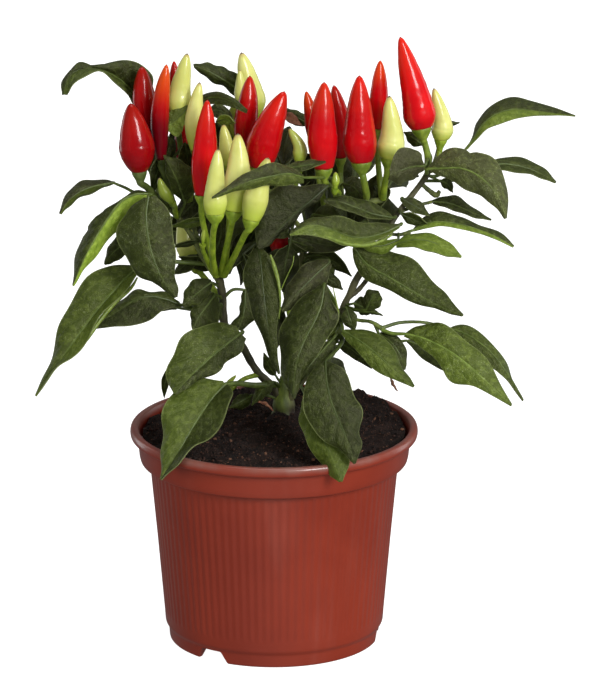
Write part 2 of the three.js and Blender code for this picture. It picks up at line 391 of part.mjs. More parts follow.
    stalk: [[15.6, 119.4, 1.4], [17.6, 120.6, 9]] },
  { rib: [[-44, 148, 20], [-54, 150, 31], [-64, 148, 42], [-72, 144, 50]], widths: [4.2, 4.2],
    edges: [-3, 5],
    stalk: [[-22.4, 142.4, 0.6], [-32, 146, 10]] },
  { rib: [[8, 122, 28], [10, 125.6, 44], [12, 122, 62], [13, 113, 76]], widths: [7, 7], edges: [3, 3],
    stalk: [[6.4, 118, 12.6], [7.4, 120, 20]] },
  { rib: [[74, 210.6, 16], [82, 212, 29], [91, 208.6, 42], [98, 201, 54]], widths: [6.4, 6.4],
    edges: [6, 0],
    stalk: [[69.6, 209.6, 1.6], [71.6, 210, 9]] },
  { rib: [[-53, 208, 10], [-56, 219, 22], [-59, 229, 36], [-61, 234, 52]], widths: [6, 6], edges: [3, 3],
    stalk: [[-50, 194.5, -6.6], [-51.6, 200, 3]] },
];

// Colours, roughness and names of the finishes
const FINISHES = {
  pot: { color: 0xa24030, roughness: 0.45 },
  soil: { color: 0x2a1c18, roughness: 0.95 },
  stem: { color: 0x5a5c30, roughness: 0.7 },
  leaf: { color: 0x4c6428, roughness: 0.55 },
  red: { color: 0xd4161a, roughness: 0.2 },
  yellow: { color: 0xe0dc72, roughness: 0.22 },
};

// A point along a smooth curve through the given points, by uniform Catmull-Rom
function along(points, t) {
  const spans = points.length - 1;
  const k = Math.min(Math.floor(t * spans), spans - 1);
  const f = t * spans - k;
  const p1 = points[k];
  const p2 = points[k + 1];
  const p0 = points[k - 1] ?? p1.map((c, i) => 2 * c - p2[i]);
  const p3 = points[k + 2] ?? p2.map((c, i) => 2 * c - p1[i]);
  return p1.map((c, i) => {
    const bend = 2 * p0[i] - 5 * c + 4 * p2[i] - p3[i];
    const turn = 3 * c - p0[i] - 3 * p2[i] + p3[i];
    return c + 0.5 * f * (p2[i] - p0[i] + f * (bend + f * turn));
  });
}

function solid(vertices, triangles) {
  const made = new wasm.Manifold(
    new wasm.Mesh({
      numProp: 3,
      vertProperties: new Float32Array(vertices.flatMap((p) => [p.x, p.y, p.z])),
      triVerts: new Uint32Array(triangles.flat()),
    }),
  );
  if (made.volume() < 0) throw new Error("a surface is inside out");
  return made;
}

function solidOf(geometry) {
  geometry.deleteAttribute("normal");
  geometry.deleteAttribute("uv");
  const merged = mergeVertices(geometry, 1e-4);
  return new wasm.Manifold(
    new wasm.Mesh({
      numProp: 3,
      vertProperties: merged.attributes.position.array,
      triVerts: new Uint32Array(merged.index.array),
    }),
  );
}

function union(solids) {
  return solids.reduce((whole, piece) => whole.add(piece));
}

// A closed skin over rings of points with the same count, each end closed by a fan.
// From the side numbered turnFrom on, the quads are halved the other way.
function loft(rings, turnFrom = Infinity) {
  const sides = rings[0].length;
  const vertices = rings.flat();
  const triangles = [];
  for (let i = 0; i + 1 < rings.length; i++) {
    for (let j = 0; j < sides; j++) {
      const a = i * sides + j;
      const b = i * sides + ((j + 1) % sides);
      const [c, d] = [b + sides, a + sides];
      triangles.push(...(j < turnFrom ? [[a, b, c], [a, c, d]] : [[a, b, d], [b, c, d]]));
    }
  }
  const sumOf = (ring) => ring.reduce((sum, p) => sum.add(p), new THREE.Vector3());
  const centre = (ring) => sumOf(ring).divideScalar(sides);
  const foot = vertices.push(centre(rings[0])) - 1;
  const head = vertices.push(centre(rings.at(-1))) - 1;
  const top = (rings.length - 1) * sides;
  for (let j = 0; j < sides; j++) {
    const k = (j + 1) % sides;
    triangles.push([foot, k, j], [head, top + j, top + k]);
  }
  return solid(vertices, triangles);
}

// Rings square to a path, carried along it without twist
function ringsAlong(path, radii, sides) {
  let side = new THREE.Vector3(0.31, 0.95, 0.07);
  return path.map((p, i) => {
    const ahead = path[Math.min(i + 1, path.length - 1)].clone();
    const way = ahead.sub(path[Math.max(i - 1, 0)]).normalize();
    side = side.clone().addScaledVector(way, -side.dot(way)).normalize();
    const other = new THREE.Vector3().crossVectors(way, side);
    return Array.from({ length: sides }, (_, j) => {
      const turn = (2 * Math.PI * j) / sides;
      return p
        .clone()
        .addScaledVector(side, radii[i] * Math.cos(turn))
        .addScaledVector(other, radii[i] * Math.sin(turn));
    });
  });
}

// A round stem through seen places whose fourth number is the radius
function stemAlong(places, grow) {
  const radii = places.map((place) => place[3] + grow);
  return loft(ringsAlong(places.map(seen), radii, STEM_SIDES));
}

// Pot
function potProfile() {
  const outside = [
    [HUB_RADIUS, 0],
    [HUB_RADIUS + 1.5, FOOT_HEIGHT + 0.3],
    [FOOT_RADIUS - 4.2, FOOT_HEIGHT + 0.3],
    [FOOT_RADIUS - 2.6, 0],
    [FOOT_RADIUS - 0.5, 0],
    [FOOT_RADIUS, 0.9],
    [FOOT_RADIUS + 0.3, FOOT_HEIGHT - 0.4],
    [BODY_FOOT_RADIUS - 0.2, FOOT_HEIGHT + 0.3],
    [BODY_FOOT_RADIUS, 12],
    [BODY_TOP_RADIUS, 82.5],
    [COLLAR_RADIUS - 1.6, 84],
    [COLLAR_RADIUS - 1.1, 85.6],
    [COLLAR_RADIUS, 94.4],
    [LIP_RADIUS - 0.8, POT_HEIGHT - 4.4],
    [LIP_RADIUS, POT_HEIGHT - 3.2],
    [LIP_RADIUS, POT_HEIGHT - 1.3],
    [LIP_RADIUS - 1.2, POT_HEIGHT],
    [LIP_RADIUS - 3, POT_HEIGHT],
  ];
  const inside = [
    [COLLAR_RADIUS - POT_WALL + 0.4, POT_HEIGHT - 1.6],
    [COLLAR_RADIUS - POT_WALL - 1.1, 86.6],
    [BODY_TOP_RADIUS - POT_WALL - 0.2, 84.6],
    [BODY_FOOT_RADIUS - POT_WALL, 12],
    [BODY_FOOT_RADIUS - POT_WALL - 0.8, FOOT_HEIGHT + 2],
    [HUB_RADIUS - 0.2, FOOT_HEIGHT + 2],
    [HUB_RADIUS - 1.6, 1.7],
  ];
  return [[0, 0], ...outside, ...inside, [0, 1.7]].map(([r, z]) => new THREE.Vector2(r, z));
}

function turned(profile, sides) {
  const geometry = new THREE.LatheGeometry(profile, sides);
  return solidOf(geometry.rotateX(Math.PI / 2));
}

// A drain notch cuts the foot ring from the outside in, with one upright and one sloped end
function drainNotch(angle) {
  const half = NOTCH_WIDTH / 2;
  const outline = new THREE.Shape([
    new THREE.Vector2(-half, -1),
    new THREE.Vector2(half, -1),
    new THREE.Vector2(half - 3.4, FOOT_HEIGHT),
    new THREE.Vector2(-half, FOOT_HEIGHT),
  ]);
  const depth = 16;
  const geometry = new THREE.ExtrudeGeometry(outline, { depth, bevelEnabled: false });
  geometry.rotateX(Math.PI / 2);
  geometry.translate(0, -(FOOT_RADIUS - 8), 0);
  return solidOf(geometry.rotateZ(THREE.MathUtils.degToRad(angle + 90)));
}

function makePot() {
  return NOTCH_ANGLES.reduce(
    (pot, angle) => pot.subtract(drainNotch(angle)),
    turned(potProfile(), POT_SIDES),
  );
}

// Soil: the pot's filling, mounded round the trunk and banked up at the back right
const SOIL_SWELLS = [
  { x: 6, y: 8, height: 4.4, spread: 22 },
  { x: 40, y: 44, height: 5, spread: 30 },
];

function soilHeight(x, y) {
  const swell = SOIL_SWELLS.reduce((sum, bump) => {
    const away = Math.hypot(x - bump.x, y - bump.y) / bump.spread;
    return sum + bump.height * Math.exp(-(away ** 2));
  }, 0);
  const lumps = 0.7 * Math.sin(0.31 * x + 1.1) * Math.cos(0.27 * y) + 0.4 * Math.sin(0.53 * y - 0.4 * x);
  return SOIL_LEVEL + swell + lumps;
}

function makeSoil() {
  const under = [
    [BODY_FOOT_RADIUS - POT_WALL - GAP, 12],
    [BODY_TOP_RADIUS - POT_WALL - 0.2 - GAP, 84.6],
    [COLLAR_RADIUS - POT_WALL - 1.2 - GAP, 87],
    [SOIL_RADIUS, 93],
  ];
  const floor = [
    [HUB_RADIUS - 2.2, 2.1],
    [HUB_RADIUS - 0.7, FOOT_HEIGHT + 2.4],
    [BODY_FOOT_RADIUS - 2.6, FOOT_HEIGHT + 2.5],
  ];
  const tops = [57.6, 49, 39, 28, 16, 6];
  const ring = (r, level) =>
    Array.from({ length: SOIL_SIDES }, (_, j) => {
      const turn = (2 * Math.PI * j) / SOIL_SIDES;
      const [x, y] = [r * Math.cos(turn), r * Math.sin(turn)];
      return new THREE.Vector3(x, y, level ?? soilHeight(x, y));
    });
  const rings = [...floor, ...under].map(([r, z]) => ring(r, z));
  return loft([...rings, ...tops.map((r) => ring(r))]);
}

// The trunk stands upright in a plain hole in the soil
function trunkFoot(grow) {
  const [x, y] = TRUNK_PLACE;
  const path = [74 - grow, 88, 101].map((z) => new THREE.Vector3(x, y, z));
  return loft(ringsAlong(path, path.map(() => TRUNK_RADIUS + grow), 8));
}

// Fruit
function fruitShape(t, belly) {
  if (t < belly) return 0.52 + 0.48 * Math.sin((Math.PI / 2) * (t / belly) ** 0.8);
  return Math.cos((Math.PI / 2) * ((t - belly) / (1 - belly)) ** 1.35) ** 0.8;
}

function fruitPath(fruit, t) {
  const [base, middle, tip] = fruit.seen;
  const [u, v] = along([base, middle, tip], t);
  return [u, v, fruit.back[0] + (fruit.back[1] - fruit.back[0]) * t];
}

const FRUIT_STATIONS = [0, 0.12, 0.36, 0.62, 0.84, 0.97];

function makeFruit(fruit) {
  const path = FRUIT_STATIONS.map((t) => seen(fruitPath(fruit, t)));
  const radii = FRUIT_STATIONS.map((t) => fruit.radius * fruitShape(t, fruit.belly));
  return loft(ringsAlong(path, radii, FRUIT_SIDES));
}

// A stalk that widens into the calyx, which ends just short of the fruit.
// Its sizes are a fixed part and a share of the fruit's radius.
const STALK_RADIUS = [0.9, 0.07];
const CALYX_NECK = [3.4, 0.3];
const CALYX_SHOULDER = [1.2, 0.12];
const CALYX_RADIUS = [0, 0.62];

function fruitStalk(fruit, grow) {
  const base = seen(fruitPath(fruit, 0));
  const way = seen(fruitPath(fruit, 0.1)).sub(base).normalize();
  const sized = ([fixed, share]) => fixed + share * fruit.radius;
  const below = (distance) => base.clone().addScaledVector(way, -distance);
  const places = fruit.stalk.map(seen);
  const path = [...places, below(sized(CALYX_NECK)), below(sized(CALYX_SHOULDER)), below(GAP)];
  const slim = sized(STALK_RADIUS);
  const cup = sized(CALYX_RADIUS);
  const radii = [...places.map(() => slim), 1.25 * slim, 0.86 * cup, cup];
  return loft(ringsAlong(path, radii.map((radius) => radius + grow), STALK_SIDES));
}

// Leaf: the share of its width along the rib
const WIDEST = 0.42;
const NECK_WIDTH = 0.14;
const TIP_WIDTH = 0.07;

function bladeWidth(t, widest = WIDEST) {
  if (t < widest) return Math.sin((Math.PI / 2) * (t / widest)) ** 0.85;
  return Math.cos((Math.PI / 2) * ((t - widest) / (1 - widest))) ** 1.1;
}

// The blade's middle surface: t runs along the rib, s from -1 at the left edge to 1 at the right
function bladePlace(leaf, t, s) {
  const [u, v, back] = along(leaf.rib, t);
  const [u0, v0] = along(leaf.rib, Math.max(t - 0.02, 0));
  const [u1, v1] = along(leaf.rib, Math.min(t + 0.02, 1));
  const length = Math.hypot(u1 - u0, v1 - v0);
  const side = s < 0 ? 0 : 1;
  const spread = Math.max(bladeWidth(t, leaf.widest), t < 0.5 ? NECK_WIDTH : TIP_WIDTH);
  const out = leaf.widths[side] * spread * s;
  const fold = leaf.edges[side] * spread * Math.abs(s) ** 1.5;
  return seen([u + (out * (v1 - v0)) / length, v - (out * (u1 - u0)) / length, back + fold]);
}

// One ring of the leaf's skin: over the upper face from left to right, and back under it
function bladeRing(leaf, t, across) {
  const ring = [];
  const under = [];
  for (let j = 0; j <= across; j++) {
    const s = (2 * j) / across - 1;
    const ahead = bladePlace(leaf, Math.min(t + 0.08, 1), s);
    ahead.sub(bladePlace(leaf, Math.max(t - 0.08, 0), s));
    const outward = bladePlace(leaf, t, Math.min(s + 0.5, 1));
    outward.sub(bladePlace(leaf, t, Math.max(s - 0.5, -1)));
    const half = outward.cross(ahead).setLength(BLADE_THICKNESS / 2);
    ring.push(bladePlace(leaf, t, s).add(half));
    under.unshift(bladePlace(leaf, t, s).sub(half));
  }
  return [...ring, ...under];
}

// The stalk's rings have as many points as the blade's, so stalk and blade are one skin
function petioleRings(leaf, across) {
  const path = [...leaf.stalk.map(seen), seen(leaf.rib[0])];
  let side = bladePlace(leaf, 0, 1).sub(bladePlace(leaf, 0, -1)).normalize();
  const rings = [];
  for (let i = leaf.stalk.length - 1; i >= 0; i--) {
    const way = path[i + 1].clone().sub(path[Math.max(i - 1, 0)]).normalize();
    side = side.clone().addScaledVector(way, -side.dot(way)).normalize();
    const upward = new THREE.Vector3().crossVectors(side, way);
    const points = 2 * (across + 1);
    const ring = Array.from({ length: points }, (_, j) => {
      const turn = Math.PI - (2 * Math.PI * (j + 0.5)) / points;
      return path[i]
        .clone()
        .addScaledVector(side, PETIOLE_RADIUS * Math.cos(turn))
        .addScaledVector(upward, PETIOLE_RADIUS * Math.sin(turn));
    });
    rings.unshift(ring);
  }
  return rings;
}

// Both faces of the blade are halved into triangles the same way
function makeLeaf(leaf, stations, across) {
  const blade = Array.from({ length: stations + 1 }, (_, i) => {
    return bladeRing(leaf, i / stations, across);
  });
  const rings = [...petioleRings(leaf, across), ...blade];
  return loft(rings, across + 1);
}

// Trunk, branches and fruit stalks
function stemSolids(grow) {
  const stalks = [...FRUITS, ...BUDS].map((fruit) => fruitStalk(fruit, grow));
  return [trunkFoot(grow), ...BRANCHES.map((places) => stemAlong(places, grow)), ...stalks];
}

function makeStem() {
  const buds = BUDS.map(makeFruit);
  const budNecks = BUDS.map((bud) => {
    const inside = seen(fruitPath(bud, 0.3));
    const way = inside.clone().sub(seen(fruitPath(bud, 0))).normalize();
    const outside = seen(fruitPath(bud, 0)).addScaledVector(way, -1);
    return loft(ringsAlong([outside, inside], [PETIOLE_RADIUS, PETIOLE_RADIUS], STALK_SIDES));
  });
  const leaves = STEM_LEAVES.map((leaf) => {
    const reach = seen(leaf.rib[0]).distanceTo(seen(leaf.rib.at(-1)));
    return makeLeaf(leaf, reach < SHORT_BLADE ? STEM_LEAF_STATIONS - 1 : STEM_LEAF_STATIONS, 2);
  });
  return union([...stemSolids(0), ...buds, ...budNecks, ...leaves]);
}

// A large leaf stays a hair clear of the stem at its stalk's foot
const clearance = union(stemSolids(GAP));

function largestBody(whole) {
  return whole.decompose().sort((a, b) => b.volume() - a.volume())[0];
}

function meshOf(name, shape, finish) {
  const { vertProperties, numProp, triVerts } = shape.getMesh();
  const geometry = new THREE.BufferGeometry();
  const places = new THREE.BufferAttribute(new Float32Array(vertProperties), numProp);
  geometry.setAttribute("position", places);
  geometry.setIndex(new THREE.BufferAttribute(new Uint32Array(triVerts), 1));
  geometry.computeVertexNormals();
  const { color, roughness } = FINISHES[finish];
  const material = new THREE.MeshStandardMaterial({ color, roughness, metalness: 0 });
  const mesh = new THREE.Mesh(geometry, material);
  mesh.name = name;
  return mesh;
}

const stem = largestBody(makeStem());
const plant = new THREE.Group();
plant.add(meshOf("pot", makePot(), "pot"));
plant.add(meshOf("soil", makeSoil().subtract(trunkFoot(GAP)), "soil"));
plant.add(meshOf("stem", stem, "stem"));
for (const fruit of FRUITS) {
  plant.add(meshOf(fruit.name, makeFruit(fruit), fruit.name.includes("red") ? "red" : "yellow"));
}
for (const leaf of LEAVES) {
  const broad = Math.max(...leaf.widths) > BROAD_BLADE;
  const whole = broad ? makeLeaf(leaf, LEAF_STATIONS, 4) : makeLeaf(leaf, LEAF_STATIONS - 1, 2);
  const shape = whole.subtract(clearance);
  plant.add(meshOf(leaf.name, largestBody(shape), "leaf"));
}

export default plant;
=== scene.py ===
import math
import random

import bpy
import numpy as np
from mathutils import Matrix, Vector, noise


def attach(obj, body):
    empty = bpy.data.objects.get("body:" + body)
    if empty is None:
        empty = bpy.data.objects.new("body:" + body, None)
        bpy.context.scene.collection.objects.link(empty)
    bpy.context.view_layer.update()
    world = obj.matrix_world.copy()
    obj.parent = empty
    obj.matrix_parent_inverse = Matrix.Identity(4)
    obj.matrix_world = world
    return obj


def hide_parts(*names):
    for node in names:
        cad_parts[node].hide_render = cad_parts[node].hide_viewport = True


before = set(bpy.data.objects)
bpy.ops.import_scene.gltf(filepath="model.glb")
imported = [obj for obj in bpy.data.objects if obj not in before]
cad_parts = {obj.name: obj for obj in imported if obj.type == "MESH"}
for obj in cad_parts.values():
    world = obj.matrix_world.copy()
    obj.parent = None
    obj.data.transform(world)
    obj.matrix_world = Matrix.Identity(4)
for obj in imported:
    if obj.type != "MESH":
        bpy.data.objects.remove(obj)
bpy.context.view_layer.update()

MM = 0.001

# The view that places are read in: 17 degrees above the level, the pot's axis at zero across
SIGHT_DEGREES = 17
SIGHT_DISTANCE = 3500
SIGHT_ACROSS = 11.7
SIGHT_HEIGHT = 136
SIGHT_SIN = math.sin(math.radians(SIGHT_DEGREES))
SIGHT_COS = math.cos(math.radians(SIGHT_DEGREES))
PICTURE_HEIGHT = 695
PIXELS_PER_MM = 2.223
SENSOR = 36

# Pot, in millimetres. A notch's ends are measured across it at its bottom and its top
LIP_RADIUS = 65
POT_HEIGHT = 99.5
COLLAR_RADIUS = 61.6
BODY_TOP_RADIUS = 56.1
BODY_FOOT_RADIUS = 49.6
FOOT_RADIUS = 47.4
FOOT_HEIGHT = 6.2
HUB_RADIUS = 27
HUB_LEVEL = 1.7
WALL = 1.3
FLUTES = 90
FLUTE_DEPTH = 0.26
FLUTE_FOOT = 12.5
FLUTE_TOP = 82
FLUTE_EASE = 1.5
FLUTE_SKIN = 0.6
FLUTE_FACES = 6
BODY_FOOT = 12
NOTCH_BOTTOM = (-5.4, 12.2)
NOTCH_TOP = (-2.2, 8.2)
NOTCH_HEIGHT = 5.5
NOTCH_REACH = 8
# The lip's paler colour, a painted reflection of the light it catches, starts at the first height and is
# full at the second
LIP_SHEEN_LEVELS = (95.8, 98.5)
NOTCH_ANGLES = (-130, -10, 110)

# Soil: swells are x, y, height and spread, lumps are height, size and seed
SOIL_GRID = 120
SOIL_LEVEL = 96.6
SOIL_RADIUS = 59.6
SOIL_TOP_RADIUS = SOIL_RADIUS - 0.4
SOIL_SWELLS = ((6, 8, 4.4, 22), (40, 44, 5, 30), (-14, 50, 2.6, 20), (5, 5, 2.4, 9))
SOIL_LUMPS = ((1.3, 9, 3), (0.9, 3.2, 8), (0.7, 1.4, 14))
# The soil's side, from the top down, as radius and level
SOIL_WALL = (
    (SOIL_RADIUS - 0.3, 90),
    (58.9, 87),
    (BODY_TOP_RADIUS - 1.9, 84.4),
    (BODY_FOOT_RADIUS - 1.7, 12),
)
TRUNK_X = 5
TRUNK_Y = 8
TRUNK_CLEARING = 4
# Crumbs keep off the rim and the trunk. A crumb's size is the square of a number in its span
SMALL_CRUMBS = 6500
LARGE_CRUMBS = 406
SMALL_SIZES = (0.5, 0.95)
LARGE_SIZES = (1.05, 1.4)
LUMP_SPAN = (0.72, 1.2)
CRUMB_RISE = 0.25
CRUMB_RIM = 1.5
# How much a crumb is stretched along each of its own axes
CRUMB_SPANS = ((0.7, 1.4), (0.6, 1), (0.5, 0.9))
FIBRES = 36
FIBRE_SPAN = 56
FIBRE_REACH = 55
FIBRE_POINTS = 6
FIBRE_RISE = (0.2, 0.9)
FIBRE_TURN = 0.7
FIBRE_RADII = (0.07, 0.13)
FIBRE_STEP = 1.2

# Leaves: VEIN_RISE is how far along the blade a side vein climbs by the edge, WIDEST is where a
# plain blade is widest, and SHADE_LEAN is how far a shaded leaf's edges tilt, by its half width
BLADE_THICKNESS = 0.45
VEIN_RISE = 0.34
PETIOLE_RADIUS = 0.85
WIDEST = 0.42
NICK_SPAN = 0.02
NECK_WIDTH = 0.12
TIP_WIDTH = 0.03
SHADE_LEAN = 0.6
SLOPE_STEP = 0.02
# Relief: the quilting and the edge's waves go by the half width, the groove is in millimetres
QUILT = 0.042
GROOVE_DEPTH = 0.5
GROOVE_WIDTH = 1.1
EDGE_WAVE = 0.06
EDGE_WAVES = 2.6
RIB_END = 0.93
RIB_POINTS = 14
PETIOLE_POINTS = 10
# How many faces a blade has across and along
LARGE_GRID = (16, 40)
SMALL_GRID = (8, 20)
SHADE_GRID = (8, 18)
SCRAP_GRID = (6, 12)
# Stem leaves, and the ribs of the leaves deep in the bush, are painted darker as painted shade
STEM_LEAF_PAINTED_SHADE = 0.8
SHADE_LEAF_PAINTED_SHADE = 0.5

# Fruits: TIP_START is where the rounding that closes the tip starts, past the widest place
TIP_START = 0.97
RED_PINCH = 0.10
YELLOW_PINCH = 0.17
FRUIT_COLUMNS = 36
FRUIT_RINGS = 40
SPINE_POINTS = 80
STALK_POINTS = 26
FRUIT_DEFAULTS = dict(belly=0.4, foot=0.58, blunt=1.3, fresh=0.85, warm=0.1, painted_light=1.0, deep=0.0, green=0.0)
BUD_DEFAULTS = FRUIT_DEFAULTS | dict(green=0.8)
# A direction that no fruit runs along
ASKEW = np.array([0.31, 0.95, 0.07])
# The calyx's outline from the stalk to the rim
CALYX_SHARES = (0, 0.12, 0.4, 0.75, 0.92, 1)
CALYX_FLARE = (0.3, 0.42, 0.66, 0.93, 1.0, 0.97)
CALYX_RISE = (0, 0.08, 0.4, 0.82, 1.06, 1.12)
CALYX_RIDGES = 5
CALYX_GRID = (30, 12)

# Studio: each soft box's place, the height it is aimed at, its sides, its power and whether it
# shows in reflections
LIGHTS = {
    "key": ((0.98, -1.5, 1.0), 0.16, (0.6, 0.85), 33, True),
    "front": ((0.2, -2.2, 1.2), 0.16, (1.2, 1.2), 9, False),
    "right": ((1.9, -0.6, 0.5), 0.16, (1.3, 1.3), 19, False),
    "fill": ((-1.7, -0.9, 0.5), 0.16, (1.8, 1.8), 17, False),
    "back": ((0.2, 2.0, 0.9), 0.16, (1.6, 1.6), 24, False),
    "above": ((0.1, 0.1, 1.7), 0.16, (1.0, 1.0), 8, True),
    "floor_bounce": ((0, -0.8, -0.6), 0.04, (1.4, 1.0), 4, False),
    "left_rim": ((-1.3, 1.1, 0.3), 0.16, (0.5, 1.4), 4, True),
    "right_rim": ((1.5, 0.9, 0.3), 0.16, (0.5, 1.4), 4, True),
}
AMBIENT = 0.12
FLOOR_SIZE = 12

# Branches: seen places with the radius as a fourth number
BRANCHES = [
    # green foot of the trunk, up to where it divides
    [[5, 97, 8, 3.6], [5, 103, 8, 3.4], [4.6, 108, 7.6, 2.8], [4.6, 112, 7.6, 2]],
    # left main stem, up to the crown of long stalks
    [[4.6, 105, 8, 2.2], [-1, 113, 6.5, 1.9], [-6, 117.5, 5, 1.7], [-10, 123, 4, 1.7],
        [-13.5, 129.5, 3, 1.7], [-17, 135.5, 2, 1.9], [-21.5, 138.5, 1, 2], [-22.8, 144, 0, 1.9],
        [-23, 152, -1, 1.8], [-24, 158, -2, 1.9], [-24.8, 162, -3, 2.2]],
    # right main stem, up to the fork under the largest fruit
    [[5, 104, 8, 2.3], [10, 112, 5, 2], [16.2, 120, 1, 1.8], [23, 129, -3, 1.7], [28.5, 138, -6, 1.7],
        [30.8, 147, -8, 1.7], [33.5, 153, -9, 1.6], [37, 160.5, -9.5, 1.7], [40.5, 166, -8, 1.6],
        [45.4, 174, -6, 1.5], [51, 182.5, -4, 1.4], [55.8, 190.7, -2, 1.3], [62, 198.5, 0, 1.3],
        [68, 206.5, 1, 1.5], [69.5, 210, 1, 1.6]],
    # middle stem and its forks
    [[5.2, 103, 9, 2.2], [6.5, 120, 13, 2], [8, 140, 15, 1.9], [11, 160, 15, 1.8], [15, 180, 12, 1.7],
        [22, 192, 8, 1.6], [30, 198, 4, 1.7]],
    [[30, 198, 4, 1.4], [36, 195.5, 2, 1.3], [42, 195.5, 1, 1.5], [49, 196.5, 2, 1.4]],
    [[15, 180, 12, 1.3], [7, 190, 6, 1.2], [1, 198, 0, 1.3]],
    [[11, 160, 15, 1.4], [-2, 178, 18, 1.3], [-9, 198, 20, 1.2], [-12, 214, 18, 1.5]],
    # shoot to the upper left and its fork
    [[-24.5, 160, -3, 1.5], [-31, 169, -4, 1.3], [-37.5, 181, -5, 1.2], [-44, 189.5, -6, 1.1],
        [-50, 194.5, -7, 1.2], [-55, 199.5, -10, 1.1]],
    [[-31, 169, -4, 1.2], [-36, 184, 1, 1.1], [-40, 198, 3, 1.3]],
    # long stalk with the two low right leaves
    [[30.8, 146, -8, 1], [37, 142.6, -11, 0.9], [43.5, 141.6, -13, 0.9], [48.6, 138.6, -14, 1.3]],
    # twigs on the right
    [[55.8, 190.7, -2, 0.9], [63, 193.5, 1, 0.8], [71, 195.6, 3, 0.8]],
    [[66, 204, 1, 0.9], [70, 200.5, 2, 1.1], [73, 198.6, 3, 1.3], [74.5, 200.5, 3, 0.8]],
    [[50, 181.5, -4.2, 0.9], [56, 180.8, -4, 0.8], [61.4, 181.9, -4, 1.1]],
    # stub of a twig on the right stem
    [[33.6, 152.6, -9, 1.2], [38, 156, -9.6, 1.1], [42.6, 161.6, -10, 0.9], [44, 163.4, -10, 0.5]],
]

# How green each branch's bark is
BRANCH_GREENS = [1, 0.1, 0.15, 0.3, 0.6, 0.6, 0.5, 0.5, 0.6, 0.9, 0.6, 0.5, 0.6, 0.1]

# The trunk's foot is darker up to this height, and less green on the right of it
DARKENING_TOP = 112
DARKENING_FOOT = 99.5
GREEN_END = 4.5
BROWN_START = 8

# The trunk's foot in the frame's millimetres, with the radius as a fourth number
TRUNK_FOOT = [
    [5, 8, 74, 4], [4.4, 8, 90, 5.4], [4.2, 8, 96, 6.5], [4, 8, 99.5, 6.2], [4.4, 7.9, 103, 5.2],
    [4.4, 7.9, 107, 5], [4.5, 7.8, 111, 4], [4.5, 7.6, 116, 2.8], [4.4, 7.5, 120, 1.8],
]
